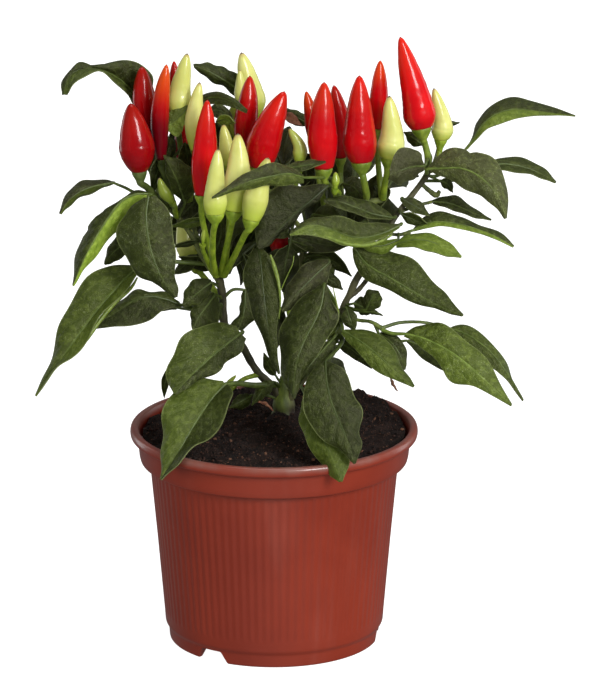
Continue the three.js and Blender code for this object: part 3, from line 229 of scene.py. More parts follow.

# Fruits: base, middle and tip as seen, how far back the base and the tip are, the radius, and the
# stalk's way from its branch. Belly is where along it the fruit is widest, foot is the base's share
# of the radius, and blunt makes the tip fuller. How light the skin is painted is painted shade and
# light, darker for a fruit in shade; warm is how orange towards the tip, deep how much darker the
# base is painted as painted shade, green how unripe, and fresh how bright the stalk
FRUITS = [
    dict(name="fruit_red_01", spine=[[-60.5, 209], [-62, 222], [-64.6, 240]], back=[-20, -20], radius=8.1,
        belly=0.46, stalk=[[-53.5, 198, -9], [-57, 202, -14]], foot=0.4, painted_light=0.6, fresh=0.12, blunt=1.15,
        deep=0.2),
    dict(name="fruit_red_02", spine=[[-56.6, 216], [-58.2, 238], [-59.6, 256.6]], back=[-3, 0],
        radius=5.2, belly=0.6, stalk=[[-48, 193, -6.5], [-52, 201, -2], [-55, 209, -2]], blunt=1.25,
        painted_light=0.6, fresh=0.15, deep=0.2),
    dict(name="fruit_red_03", spine=[[-50.6, 214], [-51.4, 235], [-48.3, 257.6]], back=[-12, -12],
        radius=4.3, belly=0.5, stalk=[[-44, 189.5, -6], [-46.5, 199, -8], [-49, 207, -11]], blunt=1.4,
        warm=0.8, painted_light=0.8, fresh=0.15, deep=1.0, foot=0.4),
    dict(name="fruit_red_04", spine=[[-45, 236], [-44.6, 248], [-45, 259]], back=[8, 9], radius=3,
        stalk=[[-40, 198, 3], [-43.5, 214, 7], [-45, 229, 8]], painted_light=0.8, fresh=0.15),
    dict(name="fruit_yellow_05", spine=[[-43, 233], [-42.2, 246], [-39, 262.5]], back=[-5, -4],
        radius=5.5, belly=0.34, stalk=[[-40, 197, 2.5], [-41, 211, -1], [-42.8, 226, -4.6]], green=0.12,
        fresh=0.3),
    dict(name="fruit_yellow_06", spine=[[-35, 218.5], [-35.8, 234], [-33.4, 249.5]], back=[-12, -12],
        radius=4.3, belly=0.42, stalk=[[-39, 193, 1.5], [-36.5, 202, -6], [-35, 211, -11]], fresh=0.4),
    dict(name="fruit_red_07", spine=[[-41, 215], [-40.6, 224], [-38.4, 234]], back=[5, 6], radius=4.6,
        stalk=[[-40, 198, 3], [-40.3, 202, 4], [-40.2, 207, 5]], painted_light=0.6, fresh=0.15),
    dict(name="fruit_red_08", spine=[[-32.2, 198], [-31, 218], [-30, 241.6]], back=[-28, -26], radius=5.7,
        belly=0.42, stalk=[[-25.6, 162.5, -4], [-29, 174, -14], [-32.3, 188, -24]], warm=0.12),
    dict(name="fruit_yellow_09", spine=[[-26.5, 189.8], [-26.4, 202], [-25.2, 219.6]], back=[-45, -44],
        radius=5.4, belly=0.28, stalk=[[-26.4, 163, -6], [-27.6, 170, -22], [-27.4, 181, -39]], foot=0.76,
        green=0.1),
    dict(name="fruit_yellow_10", spine=[[-18.2, 191], [-16, 208], [-16.2, 226.5]], back=[-30, -28],
        radius=5.9, belly=0.45, stalk=[[-23.6, 163, -4], [-22, 172, -16], [-19.4, 184, -26]], foot=0.66),
    dict(name="fruit_yellow_11", spine=[[-20.4, 212], [-21.4, 221], [-22.8, 230.4]], back=[-12, -12],
        radius=3.8, belly=0.35, stalk=[[-23, 162, -3], [-20.6, 180, -7], [-19.8, 203, -11]], green=0.12),
    dict(name="fruit_yellow_12", spine=[[-10.4, 187], [-7.4, 200], [-2.5, 215.6]], back=[-38, -36],
        radius=5.6, stalk=[[-22.4, 162.5, -5], [-18.4, 170, -18], [-13, 181, -34]], green=0.12,
        foot=0.66),
    dict(name="fruit_yellow_13", spine=[[-14.9, 237.6], [-15.2, 246.6], [-15.4, 255]], back=[25, 26],
        radius=2.7, stalk=[[-12.2, 214, 18], [-13.4, 223, 21], [-14.2, 231, 22]]),
    dict(name="fruit_yellow_14", spine=[[-9, 235], [-10.8, 246], [-14.7, 262.9]], back=[30, 30],
        radius=6.3, belly=0.35, stalk=[[-11.6, 214, 18.5], [-10, 221, 26], [-8.6, 228, 30]]),
    dict(name="fruit_red_15", spine=[[-14.4, 221], [-12.2, 236], [-10.8, 252.3]], back=[2, 4], radius=5.3,
        belly=0.42, stalk=[[-11.8, 210, 18.5], [-13.4, 211.5, 8], [-14.4, 215, 2.6]], warm=0.15,
        painted_light=0.85, fresh=0.55),
    dict(name="fruit_red_16", spine=[[-7, 210.6], [-3.8, 225], [4.8, 245.4]], back=[-15, -14], radius=7.7,
        belly=0.42, stalk=[[1, 198, 0], [-4, 201, -8], [-7.6, 205, -14]], fresh=0.55),
    dict(name="fruit_yellow_17", spine=[[11.4, 213.4], [11.4, 220.6], [6.7, 228.6]], back=[-14, -14],
        radius=3.3, belly=0.34, stalk=[[6, 191.5, 5.6], [9, 201, -5], [11.4, 208, -12]], green=0.6),
    dict(name="fruit_red_18", spine=[[22.4, 210], [21.6, 228], [22.6, 249.6]], back=[-20, -18],
        radius=6.6, belly=0.42, stalk=[[28.5, 197.5, 3.6], [27, 200.5, -9], [23.4, 204, -19]], warm=0.2,
        fresh=0.55),
    dict(name="fruit_red_19", spine=[[18.4, 222], [17, 233], [14.4, 245.4]], back=[8, 8], radius=3.6,
        belly=0.38, stalk=[[23, 193, 7.4], [20.5, 204, 7.6], [19, 215, 8]], warm=0.6, painted_light=0.8,
        fresh=0.55),
    dict(name="fruit_red_20", spine=[[29.8, 215], [29.6, 232], [26.9, 248.2]], back=[15, 15], radius=4.7,
        belly=0.42, stalk=[[30, 198.5, 5], [30, 203, 12], [29.8, 208, 15]], painted_light=0.7, fresh=0.55),
    dict(name="fruit_red_21", spine=[[39.4, 213], [38.4, 228], [38.4, 252.6]], back=[-15, -13],
        radius=7.7, belly=0.36, stalk=[[41, 196, 1], [41.6, 199, -9], [40.4, 205.5, -15]], fresh=0.55),
    dict(name="fruit_red_22", spine=[[46.2, 228], [47.2, 244], [47.8, 259.3]], back=[5, 6], radius=4.2,
        belly=0.42, stalk=[[48.6, 197, 2.4], [47.2, 209, 4], [46.4, 220, 5]], warm=0.5, fresh=0.55),
    dict(name="fruit_yellow_23", spine=[[51.6, 215], [53, 226], [51.8, 243.4]], back=[-8, -8], radius=6.3,
        belly=0.32, stalk=[[49, 197.4, 1], [49.6, 202, -5], [50.8, 208.5, -8]]),
    dict(name="fruit_red_24", spine=[[66.4, 228.3], [63.8, 243], [56.7, 270]], back=[0, 2], radius=7.5,
        belly=0.26, stalk=[[69.3, 210, 1], [69.2, 216, 0.6], [67.8, 222, 0.2]], warm=0.12, painted_light=1.15,
        fresh=0.55),
    dict(name="fruit_yellow_25", spine=[[75, 223.4], [75.6, 232], [71.8, 246.8]], back=[8, 8], radius=4.9,
        belly=0.3, stalk=[[70, 209.6, 2], [73.6, 213.4, 6], [74.4, 218, 8]]),
    dict(name="fruit_yellow_26", spine=[[-36.6, 168.5], [-39.6, 178], [-41.4, 192]], back=[12, 13],
        radius=5, stalk=[[-23, 150, -1], [-27, 156, 7], [-33, 163.4, 11.6]], foot=0.66, green=0.2),
    dict(name="fruit_red_27", spine=[[-28, 190.5], [-28.6, 202], [-29, 214]], back=[42, 44], radius=5,
        belly=0.36, stalk=[[-6, 188, 19], [-16, 186, 32], [-25, 186, 41]]),
    dict(name="fruit_yellow_28", spine=[[24, 196], [25, 210], [24.4, 226]], back=[40, 44], radius=5.4,
        belly=0.38, stalk=[[17, 184, 11], [20, 187, 26], [23.4, 190, 38]], green=0.12),
    dict(name="fruit_red_29", spine=[[2.4, 184], [2, 196], [-1, 210]], back=[46, 52], radius=4.8,
        belly=0.36, stalk=[[9.6, 152, 15.4], [6, 166, 34], [3.2, 177.6, 45]]),
]

# Young fruits and buds are small enough to stay part of the stem. One is ripe, with how light its skin is
# painted, as painted light and shade
BUDS = [
    dict(spine=[[-46.4, 196], [-49.6, 200.6], [-51.8, 206.4]], back=[-14, -15], radius=2.6,
        stalk=[[-43.6, 189, -6], [-44.6, 192, -11]]),
    dict(spine=[[3.4, 172], [2, 180], [0.4, 196]], back=[8, 8], radius=4.6,
        stalk=[[8, 141, 15], [5.4, 154, 13.4], [3.8, 165, 9.6]], ripe=0.6),
    dict(spine=[[27.6, 202.6], [27.8, 206], [27.6, 209]], back=[-20, -20], radius=1.9,
        stalk=[[28.6, 197.6, 3.6], [29.2, 199.6, -10], [28, 200.4, -18]]),
    dict(spine=[[-19, 222], [-18.6, 232], [-17.4, 240.6]], back=[13, 14], radius=3.5,
        stalk=[[-12.2, 212, 18], [-16, 212, 15.4], [-18.6, 216, 13.4]]),
    dict(spine=[[-32, 177.4], [-31.8, 181], [-31, 185.4]], back=[-20, -22], radius=1.1,
        stalk=[[-27, 163, -5], [-30, 169, -12], [-32, 174, -18]]),
    dict(spine=[[-21, 111.8], [-20, 114.4], [-17, 117.6]], back=[-2, -2], radius=1.4,
        stalk=[[-6.6, 118, 5], [-14, 115.6, 1]]),
]

# Leaves: the rib as seen, its left and right edges as it runs, how far back each edge lies from
# the rib, and the stalk's way from its stem. How light each half is painted is painted light and
# shade, one half lit and the other in shade, and its lime-green is partly painted light that
# shines through the blade. Dust and brown are for the whole blade, the dust's pale bloom and
# specks partly painted sheen, and a nick is a side, a place along it and a depth. A number that
# stands for both halves is written once
LEAVES = [
    dict(name="leaf_01",
        rib=[[-60, 239, 9], [-66, 247.5, 6], [-72, 252.3, 3], [-78.5, 255, -1], [-85, 255.8, -4],
            [-90.5, 253.6, -7], [-93.2, 249.4, -9], [-94.6, 243.8, -11]],
        left=[[-63, 238.5], [-66.2, 243.8], [-71, 249.6], [-76, 252.8], [-81, 254], [-86.6, 251.6],
            [-90.6, 247.4], [-93, 243.6]],
        right=[[-57, 241], [-54.2, 252], [-61.5, 258], [-72, 259], [-81.8, 256.6], [-88.5, 257.8],
            [-95.1, 251], [-95.2, 243.6]], edges=[-4, 5],
        stalk=[[-50, 194.5, -7], [-54, 212, 6], [-56.5, 230, 11]], painted_light=(1.15, 0.75), lime_and_backlight=(0.08, 0),
        dust_and_sheen=0.4),
    dict(name="leaf_02",
        rib=[[-72, 204, -8], [-77, 203.2, -9], [-83, 201.8, -10.5], [-88.4, 199.2, -12.5],
            [-92.8, 195.4, -14.5], [-96.3, 190.1, -16]],
        left=[[-72, 203.4], [-77, 201.7], [-82.6, 199.4], [-88, 197], [-92.4, 193.6], [-95.8, 189.9]],
        right=[[-71.6, 204.8], [-74.6, 205], [-81, 205.6], [-87.6, 204.2], [-93, 199.6], [-96.6, 190.4]],
        edges=[6, 7], stalk=[[-54, 198.8, -10], [-62, 199.6, -9], [-67, 202, -8]], painted_light=(1.2, 0.7),
        lime_and_backlight=(0.3, 0), brown=0.1),
    dict(name="leaf_03",
        rib=[[-55, 199, -15], [-62, 199, -17], [-68.5, 196, -19], [-74, 189.2, -22], [-79, 181.4, -25],
            [-83.4, 173.6, -28], [-87, 166, -31], [-90.4, 157.8, -35]],
        left=[[-55, 197.4], [-59.6, 193.4], [-65, 188.4], [-71, 181.8], [-77, 175.6], [-82, 169.4],
            [-86.2, 163.6], [-90.2, 157.6]],
        right=[[-55, 199.8], [-62, 200.4], [-69.6, 196.6], [-77, 191], [-84.4, 183.4], [-88.2, 174.6],
            [-89.6, 166], [-90.6, 158]], edges=[4, 6], stalk=[[-51.5, 195.8, -8], [-53, 197.4, -12]],
        nicks=[[1, 0.44, 0.16], [1, 0.585, 0.16]], painted_light=(2, 0.75), lime_and_backlight=(0.65, 0.05), dust_and_sheen=0.2),
    dict(name="leaf_04",
        rib=[[-56.6, 197.6, -27], [-57.6, 190, -30], [-57, 182, -33], [-55.2, 173, -37],
            [-52, 164.4, -39.5], [-48.4, 158.2, -41], [-44, 152.6, -42]],
        left=[[-53.6, 198.4], [-48.4, 193], [-45.6, 184], [-44.6, 175], [-44.6, 165.6], [-43.4, 158],
            [-43.4, 152.8]],
        right=[[-58.6, 197.4], [-66, 191.6], [-70.2, 184], [-68.6, 173.6], [-62.4, 164.4], [-54, 158.8],
            [-44.8, 152.4]], edges=[3, 7],
        stalk=[[-47.5, 192.6, -6.6], [-52, 196, -15], [-56, 198.4, -24]], painted_light=(0.8, 0.85), dust_and_sheen=0.6),
    dict(name="leaf_06",
        rib=[[-61.6, 166, -12], [-68, 160, -15], [-74.6, 152.6, -18], [-81, 145, -21], [-87, 137, -24],
            [-93, 128.6, -27], [-99.6, 119.4, -30.5], [-107.3, 108.4, -34]],
        left=[[-60.4, 165], [-64.4, 158.4], [-71.4, 151.6], [-78, 143.6], [-84.4, 133], [-90.6, 125.8],
            [-98.4, 119.4], [-107, 108]],
        right=[[-64, 167], [-74, 167], [-82.6, 162.4], [-90, 153.4], [-95.2, 142.6], [-98.6, 131.4],
            [-102.4, 119.6], [-107.4, 108.4]], edges=[-5, 6],
        stalk=[[-30, 167.6, -4], [-44, 168.6, -6], [-56, 168.4, -9]], painted_light=(1, 1.2), lime_and_backlight=(0.3, 0.1),
        dust_and_sheen=0.4),
    dict(name="leaf_07",
        rib=[[-42, 149.3, -3], [-49.6, 152, -4], [-57, 153, -5], [-64, 150.6, -6], [-71, 146, -7],
            [-83, 138.4, -8]],
        left=[[-41.4, 148.6], [-48, 147.6], [-54.6, 143.2], [-62, 140], [-72, 139.4], [-83, 138]],
        right=[[-42.4, 150.6], [-49, 154.4], [-57, 155.6], [-64, 154.8], [-72, 149], [-83, 138.8]],
        edges=[-3, 6], stalk=[[-23, 148, -0.5], [-34, 147.6, 0], [-40, 148.8, -2]], painted_light=(0.65, 0.8),
        lime_and_backlight=(0, 0.1), dust_and_sheen=0.4),
    dict(name="leaf_11",
        rib=[[13.4, 206.4, -36], [6.6, 208.2, -41], [-1, 207, -45], [-8, 205.6, -49], [-16, 202.8, -53],
            [-28, 197.3, -58]],
        left=[[13.4, 204.2], [6, 203.3], [-1.4, 203], [-9, 202], [-17.4, 200.2], [-27.8, 197.1]],
        right=[[13.4, 207.6], [7.4, 211], [0.6, 213], [-8, 210.8], [-16.4, 205.8], [-28, 197.6]],
        edges=[3, 4], stalk=[[30, 199, 3], [27, 205.6, -12], [19, 206.6, -29]], painted_light=(1.2, 0.9),
        lime_and_backlight=(0.15, 0), dust_and_sheen=0.35, brown=0.08),
    dict(name="leaf_12",
        rib=[[24.2, 202.6, -24], [17, 196.4, -27], [10, 190.6, -29], [4, 184.6, -31], [-1.4, 179, -33.5],
            [-6.7, 174.6, -36]],
        left=[[24.6, 202], [18.4, 195.4], [11.6, 189.4], [5.6, 183.4], [-0.2, 178], [-6.2, 174.2]],
        right=[[23, 203.6], [13, 203], [2, 202.4], [-6, 196.4], [-8.8, 186], [-7.4, 175]], edges=[2, 4],
        stalk=[[26.4, 196, 5.4], [25.6, 200, -8], [24.6, 202.6, -20]], painted_light=(0.28, 0.36)),
    dict(name="leaf_13",
        rib=[[-7, 175, -30], [-5.9, 167, -35], [-5, 157, -40], [-4, 148, -43], [-2.6, 138.4, -45],
            [-0.2, 128.6, -45.6], [2.4, 118.2, -46]],
        left=[[-5, 174.6], [-1, 169], [2.4, 159.4], [3, 150], [1.4, 139.6], [1.2, 129], [2.8, 118.2]],
        right=[[-9, 174.6], [-13, 167], [-13.2, 158.4], [-11, 149.6], [-7.4, 140], [-3.2, 128.6],
            [2, 118]], edges=[1, 4], stalk=[[9, 150, 15], [-2, 166, -6], [-6.6, 173.6, -24]],
        painted_light=(0.36, 0.4), lime_and_backlight=(0.2, 0.05), dust_and_sheen=0.7),
    dict(name="leaf_14",
        rib=[[22.6, 158.6, -32], [21.4, 149.6, -36], [18, 141.4, -39.6], [13.8, 133.6, -42.6],
            [10.8, 125.6, -45.4], [9.2, 116.4, -48], [9, 107, -50]],
        left=[[23.6, 158.8], [26, 151.4], [29, 144.4], [25.6, 136], [20.4, 128.6], [14, 120.6],
            [9.4, 107]],
        right=[[21.6, 158.8], [14, 153], [6.6, 146.4], [3.2, 137.6], [2.4, 127.6], [4.4, 116.4],
            [8.6, 107.2]], edges=[3, 8], stalk=[[29.6, 142.6, -7], [27, 151, -20], [23, 158, -29]],
        painted_light=(0.65, 0.75), dust_and_sheen=0.35),
    dict(name="leaf_15", rib=[[25, 168.2, -19], [18, 162, -23], [10.6, 154.4, -27], [3.4, 146.4, -29]],
        left=[[26, 167.6], [22.4, 157.6], [14.4, 149.4], [3.6, 146]],
        right=[[24.4, 169.6], [15.6, 168.4], [7.2, 159.6], [3, 147]], edges=[2, 5],
        stalk=[[12, 164, 15], [18, 169.4, 0], [24, 169.4, -16]], painted_light=0.6, dust_and_sheen=0.4, brown=0.12),
    dict(name="leaf_16",
        rib=[[23, 124, -40], [23.6, 115.6, -45.5], [25.4, 106.6, -51], [28.6, 98.4, -55.5],
            [31.8, 91, -60], [34.4, 84.4, -63.5], [36.3, 77.8, -66]],
        left=[[24.4, 123.8], [31.6, 119.4], [36.4, 108.6], [39.4, 101.6], [38.7, 93], [39.1, 86.4],
            [36.7, 77.9]],
        right=[[21.8, 123.4], [14.6, 116], [13.4, 104.6], [15.8, 95.6], [22, 88.8], [30, 83.6],
            [36, 77.6]], edges=[4, 2], stalk=[[28, 137, -5.8], [31, 133, -20], [26, 126.8, -34]],
        painted_light=(0.42, 0.6), lime_and_backlight=0.05, dust_and_sheen=0.4),
    dict(name="leaf_16_under",
        rib=[[14.6, 107, -40], [18, 98, -47], [21.6, 90, -54], [25.6, 81.6, -60], [30, 69.8, -66]],
        left=[[16, 107], [24, 98], [29.6, 89], [33.6, 79], [30.8, 69.7]],
        right=[[12.6, 106], [11.6, 97], [14.6, 88.4], [22.6, 75.6], [29.4, 69.5]], edges=[1, 3],
        stalk=[[9.4, 111, 5.4], [11.6, 113, -12], [13.6, 110, -34]], painted_light=0.8, lime_and_backlight=0.3, dust_and_sheen=0.1),
    dict(name="leaf_17",
        rib=[[-22, 113.6, -22], [-27.6, 107.6, -27], [-32.8, 100.4, -33], [-37.6, 92.6, -39],
            [-42, 85, -44], [-46.4, 77.6, -49], [-51, 70.6, -53]],
        left=[[-20.6, 113.4], [-18.6, 108.8], [-22, 98.6], [-28.4, 90], [-36, 84.6], [-43.4, 78],
            [-50.6, 70.4]],
        right=[[-23, 115], [-34, 115.6], [-44.6, 111], [-49.8, 101], [-50.4, 90], [-50.2, 79.6],
            [-51.2, 70.8]], edges=[-6, 6], stalk=[[1, 113.4, 6], [-8.3, 113, -7], [-15.4, 113.8, -16]],
        painted_light=(0.75, 1.1), lime_and_backlight=(0.05, 0.2), thick=1.5),
    dict(name="leaf_18",
        rib=[[-15, 136.4, -9], [-21.4, 131.4, -14.6], [-27.6, 126.4, -20], [-33.6, 121, -25.6],
            [-39, 115.6, -30.6], [-44.4, 109.4, -35]],
        left=[[-12.6, 134], [-15, 128.2], [-21.4, 123.2], [-25.4, 118.9], [-35.2, 114.2], [-43.8, 108.9]],
        right=[[-17, 139.6], [-28, 141.2], [-40, 135.6], [-46, 126], [-48.2, 116], [-45.2, 109.4]],
        edges=[2, 4], stalk=[[-16.4, 134.8, 2.2], [-14, 137, -4]], painted_light=(0.9, 1.1), lime_and_backlight=(0, 0.1),
        dust_and_sheen=0.6),
    dict(name="leaf_20",
        rib=[[36, 175, -13], [40.6, 168.4, -16], [46, 164.6, -19], [53, 160.8, -22], [61, 156, -25.6],
            [70, 150.8, -30], [78, 147, -33.4], [85.2, 144.3, -36]],
        left=[[37, 176], [45, 175.4], [53, 173.6], [60.6, 170.4], [67.4, 164.8], [74, 157.8],
            [78.6, 151.8], [85.2, 144.9]],
        right=[[35.2, 174.6], [36.6, 166.6], [41, 161.4], [48.6, 157], [57.6, 153], [68, 148.6],
            [77, 146], [84.6, 144]], edges=[8, 2],
        stalk=[[45, 173.4, -6.2], [41, 177, -9], [38, 176.4, -12]], painted_light=(0.9, 1), lime_and_backlight=0.05, dust_and_sheen=0.4),
    dict(name="leaf_21",
        rib=[[57, 185, -22], [49, 181.4, -26], [40, 179.4, -31], [32, 180.6, -35], [25, 183.6, -39],
            [16, 185.2, -42], [7, 181, -45]],
        left=[[56.6, 184], [50, 180.4], [41, 176.4], [32, 176], [24, 178.6], [15, 180.6], [7.2, 180.4]],
        right=[[57, 185.8], [49, 185.6], [40, 186.2], [32.6, 188.2], [25, 189.2], [16, 187.6],
            [7.2, 181.6]], edges=[-3, 5], stalk=[[52.6, 185, -3.4], [56, 185, -12], [57.4, 185.8, -19]],
        painted_light=(1, 0.75), lime_and_backlight=(0.35, 0.05), dust_and_sheen=0.4),
    dict(name="leaf_23",
        rib=[[69, 210.4, -14], [76, 210.6, -17], [83, 210.8, -20], [89.8, 208.6, -23], [96, 203.8, -26.4],
            [101.4, 196.8, -29], [104.2, 188, -31]],
        left=[[69.6, 211.6], [73.6, 215.8], [81, 219.6], [91, 218.4], [99.6, 213.4], [105.2, 202],
            [104.6, 188.2]],
        right=[[69, 209.8], [74.4, 207.6], [81, 204.4], [87.4, 200.8], [94, 197.4], [99.4, 193.6],
            [103.6, 187.8]], edges=[9, 1], stalk=[[68.8, 208.4, 1], [68.6, 209.6, -9]],
        nicks=[[0, 0.46, 0.12]], painted_light=1.5, dust_and_sheen=0.5, brown=0.2),
    dict(name="leaf_24",
        rib=[[86.3, 219.5, 4], [90, 224.4, 5], [93.6, 230, 5.6], [99.4, 234.8, 6], [107.4, 237.2, 6],
            [116, 236.6, 5], [125.6, 235.4, 3], [135.6, 234.2, 0]],
        left=[[86, 219.8], [89.6, 225.4], [91.4, 231.6], [96.6, 238], [106.6, 242.3], [116, 241.2],
            [125.6, 237.9], [135.6, 234.4]],
        right=[[86.6, 219.4], [90.8, 223.8], [95.6, 228], [101.6, 230.6], [108.6, 232.8], [116.6, 234.1],
            [125.8, 234.8], [135.6, 234]], edges=[6, -2],
        stalk=[[68.2, 207.4, 1.2], [74, 207.5, 9], [82, 213.4, 9]], painted_light=(0.8, 1.2), lime_and_backlight=(0, 0.45),
        dust_and_sheen=0.2),
    dict(name="leaf_25",
        rib=[[95, 211, 12], [102, 212.6, 13.6], [109, 212, 14.6], [116, 210, 15], [121.6, 207.4, 14.6],
            [126.8, 204.2, 14]],
        left=[[95, 212.4], [101.6, 215.2], [109, 215.6], [116.4, 213.6], [122.2, 209.8], [127, 204.6]],
        right=[[95, 210], [102, 209.8], [109, 208.8], [115.6, 207.9], [121, 206], [126.6, 203.9]],
        edges=[6, -3], stalk=[[67.6, 205, 2.4], [82, 205.4, 10], [91, 209.6, 12]], painted_light=0.8, lime_and_backlight=0.05,
        dust_and_sheen=0.2),
    dict(name="leaf_26",
        rib=[[68, 211.6, -20], [63, 211.4, -24], [57.6, 209.8, -27.6], [52.2, 207.6, -29]],
        left=[[67.6, 210], [62.6, 206.2], [57, 203.8], [51.4, 205.6]],
        right=[[67, 213.6], [64, 219], [55.6, 219], [51.9, 210]], edges=[3, 2],
        stalk=[[69.2, 211, -0.6], [69.4, 214.6, -10], [68.6, 213.8, -18]], painted_light=0.7, dust_and_sheen=0.5, brown=0.2),
    dict(name="leaf_28",
        rib=[[62.4, 182.8, -4], [68, 185.6, -5], [75, 186.6, -6.4], [83, 185.6, -8.4], [91, 183.4, -10.6],
            [99.4, 180.2, -12.6], [107.8, 175.3, -14]],
        left=[[62.6, 183.6], [67, 188.2], [75, 191.2], [83.4, 189], [91.4, 185.2], [101, 182.4],
            [108, 175.8]],
        right=[[62.6, 182.2], [68.6, 183.6], [75, 184.6], [83, 183.5], [91, 181.6], [99.4, 178.8],
            [107.4, 174.9]], edges=[7, -1], stalk=[[60.4, 182, -4]], painted_light=(1.1, 1.8), lime_and_backlight=(0, 0.4),
        dust_and_sheen=0.4),
    dict(name="leaf_29",
        rib=[[55, 176.4, -10], [62, 178.4, -11.6], [69, 178, -13], [76, 175.4, -14.6],
            [84.4, 170.7, -16]],
        left=[[55, 177.6], [61, 181], [69.6, 181.2], [77.6, 178.2], [84.4, 171.2]],
        right=[[55, 175], [62, 175.2], [69.4, 173.4], [76.6, 171.4], [84.2, 170.4]], edges=[5, -4],
        stalk=[[46, 174.6, -6], [50, 174.6, -8]], painted_light=1.2, lime_and_backlight=0.5, dust_and_sheen=0.2),
    dict(name="leaf_30",
        rib=[[59, 136.2, -20], [66, 134.6, -24], [73, 131.6, -28], [80.4, 127.4, -32], [88, 121.6, -36],
            [96, 114.4, -40], [107, 104, -45]],
        left=[[59.6, 137], [65.6, 140], [74.4, 141.2], [83.2, 135.4], [92.4, 128.6], [99.2, 118],
            [107, 104.6]],
        right=[[58.4, 135], [64.6, 131.8], [70.6, 126.8], [76, 120], [81, 114], [91.4, 112],
            [106.6, 103.6]], edges=[6, 1], stalk=[[48.6, 138, -14.6], [53, 136.4, -17]], painted_light=1.9,
        lime_and_backlight=(0.05, 0.12), dust_and_sheen=0.35),
    dict(name="leaf_31",
        rib=[[79, 138.6, -8], [85, 136.6, -10], [91, 133.2, -13], [97, 128.4, -16], [102.4, 122, -19],
            [107, 115, -20.6], [112, 106, -22]],
        left=[[79.2, 139.2], [85.6, 140.4], [92, 136.8], [99, 131], [104, 123.4], [107.6, 115.4],
            [112.2, 106.6]],
        right=[[79, 137.8], [84, 133], [90, 128.6], [96, 122.6], [101.4, 118.4], [106, 113.6],
            [111.8, 105.8]], edges=[6, -2], stalk=[[49, 139, -13.4], [57, 141.3, -11], [68, 141.3, -9]],
        painted_light=(1.2, 1), lime_and_backlight=0.1, dust_and_sheen=0.4),
    dict(name="leaf_32",
        rib=[[31, 137.6, -21], [37, 134, -25], [43, 129.8, -29], [49, 124.6, -32.6], [55.4, 118.6, -35.6],
            [63, 112.3, -38]],
        left=[[32, 138.2], [40.4, 137.6], [48.6, 135.4], [54, 128.2], [58.6, 120], [63.2, 112.8]],
        right=[[30.2, 136.4], [34.6, 131], [39.8, 126], [45, 119.9], [53.4, 116], [62.6, 112]],
        edges=[6, 0], stalk=[[30, 140.8, -6.8], [30.4, 140.6, -14]], painted_light=(1.0, 1.1), lime_and_backlight=(0.15, 0.25),
        dust_and_sheen=0.15),
]

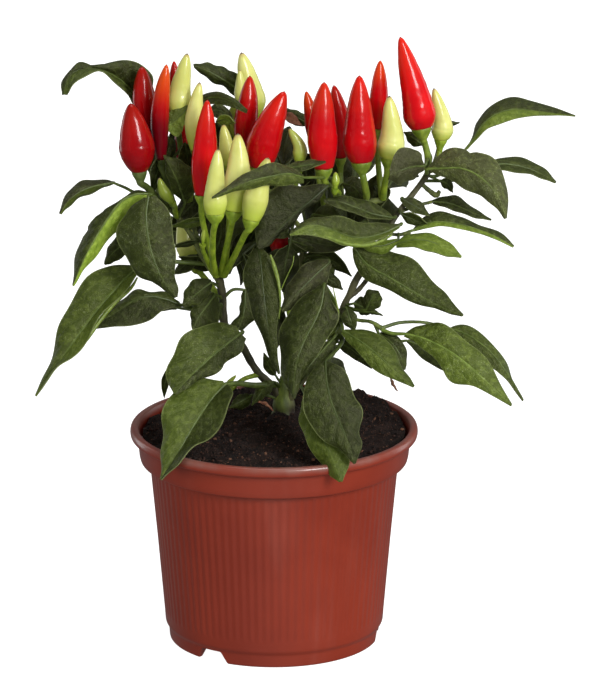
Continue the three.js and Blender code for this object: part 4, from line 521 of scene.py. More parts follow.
# Small, hidden and rearward leaves grow as part of the stem. Some have half widths in place of the
# edges' ways
STEM_LEAVES = [
    dict(rib=[[-62, 178, -6], [-68, 176, -8], [-73, 172, -9], [-76.2, 167.4, -10]],
        left=[[-62, 176], [-66.6, 172], [-71.6, 168.6], [-76, 167.2]],
        right=[[-62, 180], [-69.4, 181], [-74.6, 174.6], [-76.4, 167.6]], edges=[1, 3],
        stalk=[[-40, 185, -5], [-54, 184, -4]]),
    dict(rib=[[-38.2, 238.4, -10], [-42, 234.4, -11], [-46, 231, -11.6], [-49, 229.2, -12]],
        left=[[-38, 236.6], [-40.3, 230.1], [-43.2, 224.8], [-48.4, 228]],
        right=[[-39, 239], [-46, 237], [-48.2, 233.6], [-49.4, 230]], edges=[-1, 2],
        stalk=[[-40, 199, 3], [-37.8, 206, -4], [-38.2, 222, -6.4]], painted_light=(1.7, 1.3), lime_and_backlight=(0.3, 0.15)),
    dict(rib=[[-40, 195, -14], [-44, 206, -19], [-49.6, 216.6, -20]], widths=[3.6, 9], edges=[2, 4],
        stalk=[[-43.4, 188.6, -6]]),
    dict(rib=[[-16, 246, 36], [-22, 250, 35.6], [-29, 254, 35], [-36.2, 257, 33]],
        left=[[-16, 241.6], [-22, 247], [-29, 250.4], [-36, 256]],
        right=[[-16, 253], [-22, 255.6], [-29, 257.8], [-36.2, 257.6]], edges=[3, 5],
        stalk=[[-12, 213, 18.4], [-15.6, 226, 36], [-16.6, 238, 38]]),
    dict(rib=[[-34, 240.4, 6], [-28, 242.6, 1], [-21, 241.4, -4], [-12, 236.4, -9]],
        left=[[-34, 242.6], [-28, 245], [-20.4, 243.6], [-12, 237.2]],
        right=[[-34, 238.6], [-28, 239.6], [-20.6, 238.6], [-12.4, 235.4]], edges=[2, -1],
        stalk=[[-40, 198, 3.4], [-34.6, 214, 12], [-34, 231, 11]]),
    dict(rib=[[-30, 236, 10], [-24, 236.4, 9], [-17.4, 230.8, 6]], widths=[3, 3.6], edges=[2, -1],
        stalk=[[-35, 222, 11.6]]),
    dict(rib=[[5, 210.4, -30], [12, 211.6, -31], [18, 212.6, -31], [23.4, 213.5, -31]],
        left=[[5, 211.6], [11.4, 213.8], [17.6, 214.4], [23.2, 213.8]],
        right=[[5.6, 209], [11.6, 209], [17.4, 211], [23.4, 213.2]], edges=[3, -1],
        stalk=[[1, 198, 0], [1, 205, -14], [2, 209.6, -26]]),
    dict(
        rib=[[53.4, 188.4, -12], [45, 190, -14.6], [37, 193, -17], [29, 195.8, -19], [22.4, 196.2, -20]],
        left=[[53.2, 188], [44.4, 188], [36, 190.4], [28.4, 193], [22.6, 195.4]],
        right=[[53.6, 189], [47, 194], [38.6, 196.8], [30, 198], [22.6, 196.8]], edges=[-2, 4],
        stalk=[[54.6, 189, -2.6], [54.4, 188.6, -8]]),
    dict(rib=[[71, 195.6, 3], [78, 195, 2], [84, 193, 1.4], [90.6, 190, 0.4], [97.8, 187.4, -1]],
        left=[[71, 196.4], [77.4, 198.2], [83.4, 197.6], [90.4, 192.2], [97.8, 187.7]],
        right=[[71.4, 194.8], [77.4, 192.9], [83.4, 190.8], [90.4, 188.6], [97.6, 187.2]], edges=[5, -2],
        stalk=[[69, 195, 3]]),
    dict(rib=[[26.6, 134, -22], [22, 129, -27], [16.4, 122.4, -32], [10.6, 113, -36]],
        left=[[27.4, 133.4], [27, 126.6], [18.6, 120.6], [11, 112.8]],
        right=[[26, 134.6], [18.6, 128.4], [12.6, 121], [10.2, 113.4]], edges=2,
        stalk=[[26, 134, -4.8], [28, 136, -14]]),
    dict(rib=[[-28, 159.4, -5], [-33, 155.6, -7.6], [-37.4, 152, -9], [-41, 148.8, -10]],
        left=[[-27.6, 158], [-30.6, 152.4], [-35, 149.4], [-40.6, 148.2]],
        right=[[-28.4, 160.6], [-35, 161], [-39.6, 156.4], [-41.2, 149.4]], edges=[1, 3],
        stalk=[[-23.8, 157, -2]]),
    dict(rib=[[-26.4, 154, -6], [-30, 149, -8], [-34, 143.6, -10.6], [-36.6, 138, -12]],
        left=[[-25.4, 153], [-24.4, 145], [-28.4, 139], [-36, 137.6]],
        right=[[-27.4, 155], [-34.4, 151.6], [-37.4, 145.4], [-37, 138.6]], edges=2,
        stalk=[[-23, 152, -1]]),
    dict(rib=[[-24, 150, -4], [-27, 144, -7], [-27, 138, -9]], widths=[3, 4], edges=2,
        stalk=[[-23, 148, -0.6]]),
    dict(rib=[[67, 221, 8], [63, 224, 9], [58.4, 227, 10]], widths=3, edges=2,
        stalk=[[69.4, 211, 1.6], [70.6, 216, 7]]),
    dict(rib=[[47, 136.4, -14], [53, 132, -18], [57, 126, -20], [58.6, 120, -21]],
        left=[[48, 137], [56.4, 134.4], [59.8, 126.6], [59, 120]],
        right=[[46, 135], [49, 128], [53, 122], [58, 119.6]], edges=[2, -1],
        stalk=[[45.4, 140.6, -13.4]]),
    dict(rib=[[29, 132.4, -13], [35, 129, -16], [44.4, 120.8, -19]],
        left=[[30, 134.4], [38, 131.4], [44.8, 121.6]],
        right=[[28.4, 130.8], [33.6, 126.4], [43.8, 120.4]], edges=[3, 0],
        stalk=[[24, 130.6, -3.6], [27, 132.6, -9]]),
    dict(rib=[[35.6, 149.8, -14], [38, 149, -15], [41, 147.6, -16], [43.4, 145.6, -17]],
        left=[[35.8, 150.4], [38.6, 152.6], [41.6, 152], [43.8, 146.4]],
        right=[[35.8, 149], [37.6, 146.2], [40.4, 144.6], [43.2, 145]], edges=[3, 2],
        stalk=[[31.6, 149, -8.2]]),
    dict(rib=[[41.4, 147, -17], [43, 150.6, -18.6], [45, 153.6, -19], [47.4, 154.8, -19]],
        left=[[41, 147.6], [40.4, 152.4], [42.4, 155.9], [47, 155.6]],
        right=[[42.4, 146.4], [46.4, 147.6], [48.6, 151], [47.8, 154]], edges=[2, 3],
        stalk=[[31.6, 148.6, -8.2], [37.4, 147, -14]], painted_light=(0.9, 1.2)),
    dict(rib=[[42, 146, -18], [45, 145.8, -19], [49, 144.4, -20]], widths=[1.3, 1.1], edges=1,
        stalk=[[31.6, 148.4, -8.2], [37.4, 146.6, -14]]),
    dict(rib=[[32.5, 148, -14], [34.2, 142.6, -17], [36.4, 137.4, -17]], widths=3.4, edges=1,
        stalk=[[31, 147.6, -8]]),
    dict(rib=[[0, 114.8, 0], [-5, 110.6, -4], [-10, 104, -8]], widths=[2.8, 3.2], edges=2,
        stalk=[[3, 112, 7]], painted_light=(1.2, 1.4), dust_and_sheen=0.4),
    dict(rib=[[-10, 108.6, 3], [-15, 105.6, 0], [-20, 103, -3]], widths=[3.2, 3], edges=2,
        stalk=[[3.6, 106, 7.6], [-4, 108.8, 5]]),
    dict(rib=[[1, 117, 5], [-2.4, 122, 3], [-4.6, 127.8, 1]], widths=2.4, edges=1,
        stalk=[[4.6, 111, 7.6], [3, 114, 6.6]]),
    dict(rib=[[6.5, 178.4, -2], [12.4, 176.6, -4], [18.6, 174.6, -6]], widths=[2, 4], edges=[2, 0],
        stalk=[[14, 175, 13], [8, 176, 6]]),
    dict(rib=[[-13, 156, 0], [-13, 150, -2], [-14, 144, -4], [-16, 138, -5]],
        left=[[-12, 156], [-9.4, 150], [-8, 144], [-14.6, 137.4]],
        right=[[-14, 156], [-15, 150.6], [-16, 144.6], [-21.4, 138.4]], edges=2,
        stalk=[[-23, 152, -0.6], [-18.6, 156, 0]]),
    dict(rib=[[20, 172, 4], [24, 168, 0], [27, 163, -3]], widths=4, edges=2,
        stalk=[[12.6, 168, 14.6], [16, 171, 9]]),
    dict(rib=[[31, 204, 2], [36, 202, -4], [41, 196, -8]], widths=[4.6, 4.4], edges=2,
        stalk=[[30.4, 198, 3.6], [30, 202, 4]]),
    dict(rib=[[74.6, 205, 3], [78, 203.6, 3], [80.4, 199.8, 3]], widths=2.4, edges=1,
        stalk=[[69, 207.6, 1]]),
    dict(rib=[[75.6, 228.6, 15], [79, 230.6, 15], [83.6, 231.2, 15]], widths=[1.4, 1.6], edges=1,
        stalk=[[71, 211, 2], [73, 217, 13]]),
    dict(rib=[[-47.6, 121, -13], [-49, 114, -15], [-49.4, 107, -16]], widths=1.8, edges=0,
        stalk=[[-17, 135.4, 2], [-34, 129, -8]]),
    dict(rib=[[16, 230.4, 22], [10, 233.6, 24], [4, 238, 25]], widths=[3.2, 3], edges=2,
        stalk=[[22, 193, 8], [19, 208, 18], [18, 222, 21]]),
    dict(rib=[[8, 222, 14], [5, 217, 10], [3, 211, 5]], widths=4, edges=1,
        stalk=[[8, 189, 6.4], [9.6, 204, 13], [9.6, 216, 15]]),
    dict(rib=[[10, 198, 18], [5, 192, 12], [2, 184, 8]], widths=5, edges=2,
        stalk=[[15, 181, 12.4], [13, 191, 17]]),
    dict(rib=[[18, 190, 2], [24, 189, -4], [32, 187, -8]], widths=5, edges=2,
        stalk=[[18, 185.6, 10.6], [17, 189, 6]]),
    dict(rib=[[-27, 172, 2], [-24, 180, 4], [-24, 190, 6]], widths=6, edges=3, stalk=[[-28, 165, -3.4]]),
    dict(rib=[[-12, 192, 12], [-17, 187, 6], [-19, 178, 2]], widths=6, edges=2,
        stalk=[[-6.8, 191, 19.4]]),
    dict(rib=[[16, 176, 28], [26, 185, 45], [40, 187, 62], [51, 183, 75]], widths=8, edges=[-4, 6],
        stalk=[[13.6, 174, 13], [14, 174, 20]]),
    dict(rib=[[10, 148, 27], [14, 153, 45], [18, 149, 64], [20, 139, 80]], widths=9, edges=4,
        stalk=[[8.4, 142, 15], [9, 145, 21]]),
    dict(rib=[[-24, 147, 12], [-30, 150.6, 28], [-33.6, 148.6, 45], [-34.6, 141, 60]], widths=5.6,
        edges=3, stalk=[[-22.8, 144, 0], [-23, 145.6, 6]]),
    dict(rib=[[-30, 170, 16], [-44, 182, 29], [-56, 182, 42], [-66, 175, 52]], widths=6, edges=[-4, 8],
        stalk=[[-24.4, 158.6, -1.6], [-26, 165, 6]]),
    dict(rib=[[-41, 204, 16], [-42, 213, 30], [-40, 221, 46], [-36, 221, 62]], widths=9, edges=3,
        stalk=[[-40, 197, 3.6], [-40.6, 200, 10]]),
    dict(rib=[[-11, 204, 30], [-15, 214, 42], [-21, 224, 54], [-29, 227, 68]], widths=8, edges=3,
        stalk=[[-9, 197, 20], [-9.6, 200, 26]]),
    dict(rib=[[6, 202, 24], [7, 210, 34], [8, 217, 50], [10, 218, 70]], widths=8.4, edges=4,
        stalk=[[7.4, 190, 6.4], [6.4, 196, 15]]),
    dict(rib=[[36, 206, 22], [37.6, 213, 34], [39, 220, 50], [40, 221, 66]], widths=[7, 8], edges=3,
        stalk=[[30.6, 198.4, 4.6], [31, 202, 14]]),
    dict(rib=[[51, 202, 16], [55, 207, 30], [60, 209, 44], [65, 207, 58]], widths=6.6, edges=[3, 4],
        stalk=[[48.6, 196.6, 2.4], [49.6, 199, 9]]),
    dict(rib=[[46, 170.6, 8], [53, 166, 25], [59, 161, 42], [63, 155, 58]], widths=6, edges=[4, 2],
        stalk=[[43.4, 171, -6.6], [44.6, 171.4, 1]]),
    dict(rib=[[60, 133, 20], [72, 128.4, 32], [84, 122.6, 42], [94, 115.4, 50]], widths=6.2, edges=[5, 2],
        stalk=[[24, 130.4, -3.4], [40, 131, 8], [52, 132.6, 15]]),
    dict(rib=[[-21, 131, 14], [-31, 127.6, 28], [-39, 121.6, 42], [-45, 115.4, 53]], widths=6,
        edges=[2, 5], stalk=[[-13.6, 129.8, 3], [-16.4, 131, 8]]),
    dict(rib=[[20, 121.4, 17], [25, 121, 31], [29, 118.4, 44], [31.6, 115, 55]], widths=5.4, edges=3,
        stalk=[[15.6, 119.4, 1.4], [17.6, 120.6, 9]]),
    dict(rib=[[-44, 148, 20], [-54, 150, 31], [-64, 148, 42], [-72, 144, 50]], widths=4.2, edges=[-3, 5],
        stalk=[[-22.4, 142.4, 0.6], [-32, 146, 10]]),
    dict(rib=[[8, 122, 28], [10, 125.6, 44], [12, 122, 62], [13, 113, 76]], widths=7, edges=3,
        stalk=[[6.4, 118, 12.6], [7.4, 120, 20]]),
    dict(rib=[[74, 210.6, 16], [82, 212, 29], [91, 208.6, 42], [98, 201, 54]], widths=6.4, edges=[6, 0],
        stalk=[[69.6, 209.6, 1.6], [71.6, 210, 9]]),
    dict(rib=[[-53, 208, 10], [-56, 219, 22], [-59, 229, 36], [-61, 234, 52]], widths=6, edges=3,
        stalk=[[-50, 194.5, -6.6], [-51.6, 200, 3]]),
]

# Leaves deep in the bush, most painted darker as painted shade
SHADE_LEAVES = [
    dict(rib=[[-26, 231.6, 3], [-22, 232.4, 1], [-17.4, 231, -1]], widths=2.4, painted_light=(1.6, 1.3),
        lime_and_backlight=(0.5, 0.3)),
    dict(rib=[[7, 229.4, 14], [5, 221, 10], [3.6, 212, 5]], widths=5, painted_light=(0.5, 0.6)),
    dict(rib=[[28, 200, 16], [30, 211, 20], [31, 222, 22]], widths=5.4, painted_light=0.5),
    dict(rib=[[7, 176, -8], [5, 167, -9], [4, 155, -9]], widths=[6.4, 6], painted_light=0.4),
    dict(rib=[[22, 184, 10], [14, 179, 8], [8, 172, 4]], widths=7, painted_light=0.6),
    dict(rib=[[19, 163.6, -2], [26, 160, -4], [31, 156, -6]], widths=[3, 2.6], painted_light=0.5),
    dict(rib=[[14, 171, 2], [21, 171.5, 0], [28, 168, -2], [35, 162, -4]], widths=[4, 3.6], painted_light=0.6),
    dict(rib=[[6, 181, 0], [14, 178.4, -2], [24, 176, -4], [34, 176, -6]], widths=[4, 4.6], painted_light=0.6),
    dict(rib=[[9, 174, -1], [2, 172, -2], [-5, 171, -3]], widths=[3, 2.4], painted_light=0.5),
    dict(rib=[[-4, 183, 2], [3, 182, 1], [10, 181, 0]], widths=[3.4, 3], painted_light=0.7),
    dict(rib=[[-54.6, 201, -10], [-52.4, 209, -10], [-47.4, 219, -10], [-45.6, 229, -10]],
        widths=[3.4, 4], painted_light=0.5),
    dict(rib=[[-40, 222, -10], [-38.6, 213, -10], [-38, 204, -10]], widths=4.4, painted_light=0.55),
    dict(rib=[[-34, 189.4, -2], [-39, 187.8, -2], [-44, 186.6, -2]], widths=2.6, painted_light=0.5),
    dict(rib=[[-26, 166, 4], [-34, 168, 4], [-43, 171, 4]], widths=3, painted_light=0.5),
    dict(rib=[[-9, 178, 20], [-12, 170, 20], [-15, 158, 19]], widths=4.5, painted_light=0.5),
    dict(rib=[[30.6, 142, -9], [27.4, 136, -12], [24.6, 129, -14]], widths=[3.4, 3.2], lime_and_backlight=0.15),
    dict(rib=[[-34, 172, 4], [-40, 167, 3], [-45, 163, 2]], widths=[3.4, 3], painted_light=(0.5, 0.6)),
    dict(rib=[[-29, 188, -6], [-38, 186, -8], [-46, 184.6, -10]], widths=[2.2, 2], lime_and_backlight=0.2),
    dict(rib=[[-34, 197, -2], [-39, 192, -3], [-43.6, 186.6, -4]], widths=[4.4, 5], painted_light=(0.45, 0.5)),
    dict(rib=[[-33, 177.8, -6], [-40, 176.4, -7], [-46, 175.2, -8]], widths=[1.3, 1.2], painted_light=0.5),
    dict(rib=[[-28, 190, -8], [-30.4, 180, -10], [-32, 170, -10]], widths=3, painted_light=0.5),
    dict(rib=[[57, 197, -3], [64, 193.4, -4], [70, 189.4, -5]], widths=3, painted_light=(0.7, 0.8)),
    dict(rib=[[57, 190, -6], [63, 187.4, -7], [69, 185.8, -7]], widths=[2.8, 2.4], painted_light=(0.8, 0.7)),
    dict(rib=[[56, 178.4, -12], [50, 176, -15], [44, 175.6, -17], [38, 177, -18]], widths=[3.4, 2.6],
        painted_light=0.8, lime_and_backlight=0.6),
    dict(rib=[[47, 208, 14], [46, 199, 14], [44, 190, 12]], widths=6, painted_light=0.5),
    dict(rib=[[-8, 196, 26], [-14, 186, 26], [-17, 172, 24]], widths=9, painted_light=0.5),
    dict(rib=[[-22, 200, 26], [-30, 192, 24], [-36, 180, 22]], widths=9, painted_light=0.5),
    dict(rib=[[-36, 214, 20], [-44, 206, 18], [-50, 197, 14]], widths=6, painted_light=0.5),
    dict(rib=[[4, 206, 30], [-2, 196, 30], [-6, 182, 28]], widths=9, painted_light=0.5),
    dict(rib=[[24, 206, 26], [20, 196, 26], [16, 182, 24]], widths=9, painted_light=0.5),
    dict(rib=[[44, 204, 22], [40, 196, 22], [34, 184, 20]], widths=9, painted_light=0.5),
    dict(rib=[[50, 198, 16], [48, 190, 16], [44, 180, 14]], widths=[8, 7], painted_light=0.5),
    dict(rib=[[-2, 178, 22], [-6, 168, 22], [-8, 158, 20]], widths=7, painted_light=0.45),
    dict(rib=[[14, 172, 22], [12, 162, 22], [10, 150, 20]], widths=9, painted_light=0.45),
    dict(rib=[[22, 150, 18], [18, 140, 18], [14, 128, 16]], widths=[8, 7], painted_light=0.45),
    dict(rib=[[4, 148, 20], [1, 138, 20], [0, 126, 18]], widths=[4, 6], painted_light=0.45),
    dict(rib=[[-14, 214, 26], [-20, 206, 26], [-24, 196, 24]], widths=8, painted_light=0.5),
    dict(rib=[[-22, 232, 20], [-26, 222, 20], [-28, 210, 18]], widths=7, painted_light=0.5),
    dict(rib=[[12, 218, 24], [14, 210, 24], [16, 200, 22]], widths=7, painted_light=0.5),
    dict(rib=[[-6, 188, 27], [-12, 176, 27], [-15, 162, 26]], widths=[8, 7.6], painted_light=(0.45, 0.5)),
    dict(rib=[[-24, 188, 24], [-26, 176, 24], [-27, 161, 22]], widths=7, painted_light=0.45),
    dict(rib=[[-34, 196, 20], [-40, 190, 20], [-47, 182, 18]], widths=[5, 4.6], painted_light=0.5),
    dict(rib=[[-14, 172, 10], [-11, 166, 8], [-6, 160, 6]], widths=3, painted_light=(0.6, 0.5)),
    dict(rib=[[-14, 190, 25], [-18, 178, 25], [-20, 163, 24]], widths=5, painted_light=(0.5, 0.45)),
    dict(rib=[[-8, 178, 14], [-14, 172, 12], [-21, 164, 8]], widths=[2, 2.4], painted_light=(0.6, 0.7)),
]

# Margins that are rolled in, and a tendril: seen places with the radius as a fourth number
ROLLED_EDGES = [
    [[-1.6, 171.8, -37, 0.4], [0.4, 165.6, -39, 0.95], [2.2, 158.4, -42, 0.7], [2.9, 150, -44, 0.35],
        [2.2, 143, -45, 0.15]],
    [[26.6, 156.9, -35, 0.2], [27.9, 151, -37.5, 0.4], [29.3, 145.4, -38.6, 0.2]],
    [[8.9, 171.2, -39, 0.22], [8.4, 167.7, -40, 0.2], [6.4, 163.3, -41, 0.22], [4.4, 158.9, -42, 0.25],
        [3.2, 155.9, -42.6, 0.2]],
    [[-61.4, 161.6, -12.5, 0.4], [-64.6, 156.6, -14.5, 0.8], [-71.6, 150.2, -17, 1],
        [-78, 142.6, -21, 1], [-84.4, 133.6, -26, 0.9], [-88.6, 128.2, -29, 0.4]],
    [[53, 180.6, -27, 0.4], [46, 177, -31, 0.9], [38, 176, -35, 1], [31, 177.2, -38, 0.9],
        [24.3, 179.6, -41, 0.6], [17.6, 180.8, -44, 0.3]],
]

# Dried bits of leaf
SCRAPS = [
    dict(rib=[[-7, 105.6, -30], [-3.6, 104.6, -31], [-0.4, 101.6, -31]], widths=[0.9, 0.8], edges=1,
        painted_light=0.6),
    dict(rib=[[52.4, 117, -24], [53.4, 113.6, -25], [55.6, 110.4, -24]], widths=[0.9, 0.8], edges=1.4),
    dict(rib=[[4.6, 235.8, 6], [8, 233, 6], [12.6, 229.8, 7]], widths=2.2, edges=[1, -1]),
]

FRUITS = [FRUIT_DEFAULTS | fruit for fruit in FRUITS]
BUDS = [BUD_DEFAULTS | bud for bud in BUDS]


# Selection and joining
def deselect():
    bpy.ops.object.select_all(action="DESELECT")


def choose(*pieces):
    """Selects these pieces alone, the first as the active one."""
    deselect()
    for piece in pieces:
        piece.select_set(True)
    bpy.context.view_layer.objects.active = pieces[0]


def join(name, pieces):
    choose(*pieces)
    if len(pieces) > 1:
        bpy.ops.object.join()
    return named(bpy.context.object, name)


def named(piece, name):
    piece.name = name
    piece.data.name = name
    return piece


def placed(name, data):
    """A new object of the scene that shows this data."""
    piece = bpy.data.objects.new(name, data)
    bpy.context.collection.objects.link(piece)
    return piece


def smooth(piece, degrees=None):
    """Smooth shading, with sharp edges where faces meet at more than this angle."""
    choose(piece)
    if degrees is None:
        bpy.ops.object.shade_smooth()
    else:
        bpy.ops.object.shade_smooth_by_angle(angle=math.radians(degrees))


def apply_modifier(piece, kind, **settings):
    choose(piece)
    modifier = piece.modifiers.new(kind.lower(), kind)
    for key, value in settings.items():
        setattr(modifier, key, value)
    bpy.ops.object.modifier_apply(modifier=modifier.name)


def merge_doubles(piece, distance):
    choose(piece)
    bpy.ops.object.mode_set(mode="EDIT")
    bpy.ops.mesh.select_all(action="SELECT")
    bpy.ops.mesh.remove_doubles(threshold=distance)
    bpy.ops.object.mode_set(mode="OBJECT")


def ball(subdivisions):
    """A ball of diameter 1 made of triangles."""
    deselect()
    bpy.ops.mesh.primitive_ico_sphere_add(subdivisions=subdivisions, radius=0.5)
    return bpy.context.object


def places_of(piece):
    flat = np.empty(len(piece.data.vertices) * 3)
    piece.data.vertices.foreach_get("co", flat)
    return flat.reshape(-1, 3)


def set_places(piece, places):
    piece.data.vertices.foreach_set("co", np.asarray(places, float).ravel())
    piece.data.update()


def paint_points(piece, name, values):
    """A number for each point, which the materials read by that name."""
    attribute = piece.data.attributes.new(name, "FLOAT", "POINT")
    spread = np.broadcast_to(values, len(piece.data.vertices))
    attribute.data.foreach_set("value", np.asarray(spread, np.float32))


def wear(piece, *materials):
    piece.data.materials.clear()
    for material in materials:
        piece.data.materials.append(material)


def finished(piece, slot, *nodes):
    """The piece belongs to the part, and stands for these nodes of the frame."""
    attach(piece, "root")
    if nodes:
        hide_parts(*nodes)


# Places and curves
def seen(places):
    """Places as seen from the front, in rows of across, up the view and back, to metres in the frame."""
    places = np.asarray(places, float)
    across, up, back = places[..., 0], places[..., 1], places[..., 2]
    level = (up - back * SIGHT_SIN) / SIGHT_COS
    reach = 1 + (back * SIGHT_COS - (level - SIGHT_HEIGHT) * SIGHT_SIN) / SIGHT_DISTANCE
    centre = SIGHT_HEIGHT * SIGHT_COS
    rise = centre + (up - centre) * reach
    x = SIGHT_ACROSS + (across - SIGHT_ACROSS) * reach
    return np.stack([x, back, (rise - back * SIGHT_SIN) / SIGHT_COS], -1) * MM


def along(points, t):
    """Points on the smooth curve through the given ones, at the shares t of it."""
    points = np.asarray(points, float)
    t = np.atleast_1d(np.asarray(t, float))
    spans = len(points) - 1
    p = np.vstack([[2 * points[0] - points[1]], points, [2 * points[-1] - points[-2]]])
    k = np.clip((t * spans).astype(int), 0, spans - 1)
    f = (t * spans - k)[:, None]
    p0, p1, p2, p3 = p[k], p[k + 1], p[k + 2], p[k + 3]
    bend = 2 * p0 - 5 * p1 + 4 * p2 - p3
    turn = 3 * p1 - p0 - 3 * p2 + p3
    return p1 + 0.5 * f * (p2 - p0 + f * (bend + f * turn))


def eased(values, low, high):
    """0 at low and 1 at high, smooth between. High may be the lower number."""
    share = np.clip((values - low) / (high - low), 0, 1)
    return share * share * (3 - 2 * share)


def tubes(name, routes, resolution=2):
    """Round rods as one mesh. A route is a row of places in metres and their radii in metres."""
    deselect()
    curve = bpy.data.curves.new(name, "CURVE")
    curve.dimensions = "3D"
    curve.bevel_depth = 1
    curve.bevel_resolution = resolution
    curve.use_fill_caps = True
    for places, radii in routes:
        spline = curve.splines.new("POLY")
        spline.points.add(len(places) - 1)
        whole = np.hstack([places, np.ones((len(places), 1))])
        spline.points.foreach_set("co", whole.ravel())
        spline.points.foreach_set("radius", np.asarray(radii, float))
    choose(placed(name, curve))
    bpy.ops.object.convert(target="MESH")
    rods = bpy.context.object
    smooth(rods)
    return named(rods, name)


def sheet(name, columns, rows, place):
    """A sheet whose point at s across, -1 to 1, and t along, 0 to 1, lies at place(s, t)."""
    deselect()
    bpy.ops.mesh.primitive_grid_add(x_subdivisions=columns, y_subdivisions=rows, size=2)
    piece = named(bpy.context.object, name)
    flat = places_of(piece)
    set_places(piece, place(flat[:, 0], (flat[:, 1] + 1) / 2))
    return piece


# Shader maths
class Value:
    """A socket of a material. Arithmetic on it adds Math nodes."""

    def __init__(self, paint, socket):
        self.paint = paint
        self.socket = socket

    def math(self, operation, *inputs):
        return self.paint.node("ShaderNodeMath", {"operation": operation}, dict(enumerate(inputs)))

    def __add__(self, other):
        return self.math("ADD", self, other)

    def __radd__(self, other):
        return self.math("ADD", other, self)

    def __sub__(self, other):
        return self.math("SUBTRACT", self, other)

    def __rsub__(self, other):
        return self.math("SUBTRACT", other, self)

    def __mul__(self, other):
        return self.math("MULTIPLY", self, other)

    def __rmul__(self, other):
        return self.math("MULTIPLY", other, self)

    def __abs__(self):
        return self.math("ABSOLUTE", self)

    def fraction(self):
        return self.math("FRACT", self)

    def ramp(self, low, high):
        """0 below low, 1 above high, smooth between. High may be the lower number."""
        if low > high:
            return 1 - self.ramp(high, low)
        inputs = {"Value": self, "From Min": low, "From Max": high}
        return self.paint.node("ShaderNodeMapRange", {"interpolation_type": "SMOOTHSTEP"}, inputs)


class Paint:
    """A material's node tree, with its Principled shader."""

    def __init__(self, name):
        self.material = bpy.data.materials.new(name)
        self.material.use_nodes = True
        self.tree = self.material.node_tree
        self.shader = self.tree.nodes["Principled BSDF"]

    def node(self, kind, settings=None, inputs=None, output=0):
        made = self.tree.nodes.new(kind)
        for key, value in (settings or {}).items():
            setattr(made, key, value)
        for key, value in (inputs or {}).items():
            self.feed(made.inputs[key], value)
        return Value(self, made.outputs[output])

    def feed(self, socket, value):
        if isinstance(value, Value):
            self.tree.links.new(value.socket, socket)
        elif isinstance(value, tuple) and len(value) == 3 and socket.type == "RGBA":
            socket.default_value = (*value, 1)
        else:
            socket.default_value = value

    def place(self):
        return self.node("ShaderNodeTexCoord", output="Object")

    def height(self):
        """The level above the floor, in metres."""
        parts = self.node("ShaderNodeSeparateXYZ", inputs={0: self.place()})
        return Value(self, parts.socket.node.outputs[2])

    def attribute(self, name):
        return self.node("ShaderNodeAttribute", {"attribute_name": name}, output="Fac")

    def uv(self):
        """The two numbers of the piece's own UV map."""
        map_place = self.node("ShaderNodeUVMap")
        parts = self.node("ShaderNodeSeparateXYZ", inputs={0: map_place})
        outputs = parts.socket.node.outputs
        return Value(self, outputs[0]), Value(self, outputs[1])

    def noise(self, scale, detail=3, roughness=0.55, stretch=None):
        vector = self.place()
        if stretch:
            vector = self.node("ShaderNodeMapping", inputs={"Vector": vector, "Scale": stretch})
        inputs = {"Vector": vector, "Scale": scale, "Detail": detail, "Roughness": roughness}
        return self.node("ShaderNodeTexNoise", inputs=inputs)

    def mix(self, share, first, second, blend="MIX"):
        settings = {"data_type": "RGBA", "blend_type": blend}
        inputs = {0: share, 6: first, 7: second}
        return self.node("ShaderNodeMix", settings, inputs, output=2)

    def coats(self, base, *coats):
        """The base with each coat, a share and a colour, mixed over it in turn."""
        for share, colour in coats:
            base = self.mix(share, base, colour)
        return base

    def with_painted_light(self, base):
        """The colour, made lighter or darker by the piece's painted light and shade."""
        painted_light = self.attribute("painted_light")
        grey = self.node("ShaderNodeCombineColor", {"mode": "RGB"}, {0: painted_light, 1: painted_light, 2: painted_light})
        return self.mix(1.0, base, grey, "MULTIPLY")

    def bump(self, height, distance, strength):
        inputs = {"Height": height, "Distance": distance, "Strength": strength}
        return self.node("ShaderNodeBump", inputs=inputs)

    def finish(self, **sockets):
        """Feeds the shader's sockets, named with underscores for spaces."""
        for key, value in sockets.items():
            self.feed(self.shader.inputs[key.replace("_", " ")], value)
        return self.material


# Materials
PEAT = (0.0032, 0.0013, 0.0009)


def pot_plastic():
    """Terracotta-red plastic, streaked by water, with a painted reflection that makes the lip paler."""
    paint = Paint("pot_plastic")
    broad = paint.noise(22, detail=4)
    fine = paint.noise(900, detail=2)
    drips = paint.noise(60, detail=5, stretch=(1, 1, 0.12))
    lip = paint.height().ramp(*(level * MM for level in LIP_SHEEN_LEVELS))
    base = paint.coats(
        paint.mix(broad.ramp(0.3, 0.75), (0.182, 0.0185, 0.0066), (0.225, 0.0255, 0.0095)),
        (drips.ramp(0.56, 0.8) * 0.3, (0.25, 0.052, 0.032)),
        # Painted reflection: the lip paler where it catches the light
        (lip * (0.2 + 0.5 * drips.ramp(0.35, 0.7)), (0.20, 0.10, 0.078)),
    )
    return paint.finish(
        Base_Color=base,
        Roughness=0.33 + fine * 0.08 + drips.ramp(0.5, 0.8) * 0.12,
        Normal=paint.bump(fine, 0.00004, 0.5),
        Specular_IOR_Level=0.5,
        Coat_Weight=0.4,
        Coat_Roughness=0.16,
    )


def soil_mix():
    """Dark peat with paler grains and specks."""
    paint = Paint("soil_mix")
    broad = paint.noise(120, detail=6, roughness=0.7)
    grain = paint.noise(900, detail=3)
    speck = paint.noise(2300, detail=2)
    base = paint.coats(
        paint.mix(broad.ramp(0.35, 0.7), PEAT, (0.012, 0.0052, 0.0032)),
        (grain.ramp(0.6, 0.75) * 0.6, (0.04, 0.02, 0.013)),
        (speck.ramp(0.62, 0.68) * 0.8, (0.085, 0.042, 0.030)),
    )
    bump = paint.bump(grain + broad * 2, 0.0006, 0.8)
    return paint.finish(Base_Color=base, Roughness=0.85, Normal=bump, Specular_IOR_Level=0.3)


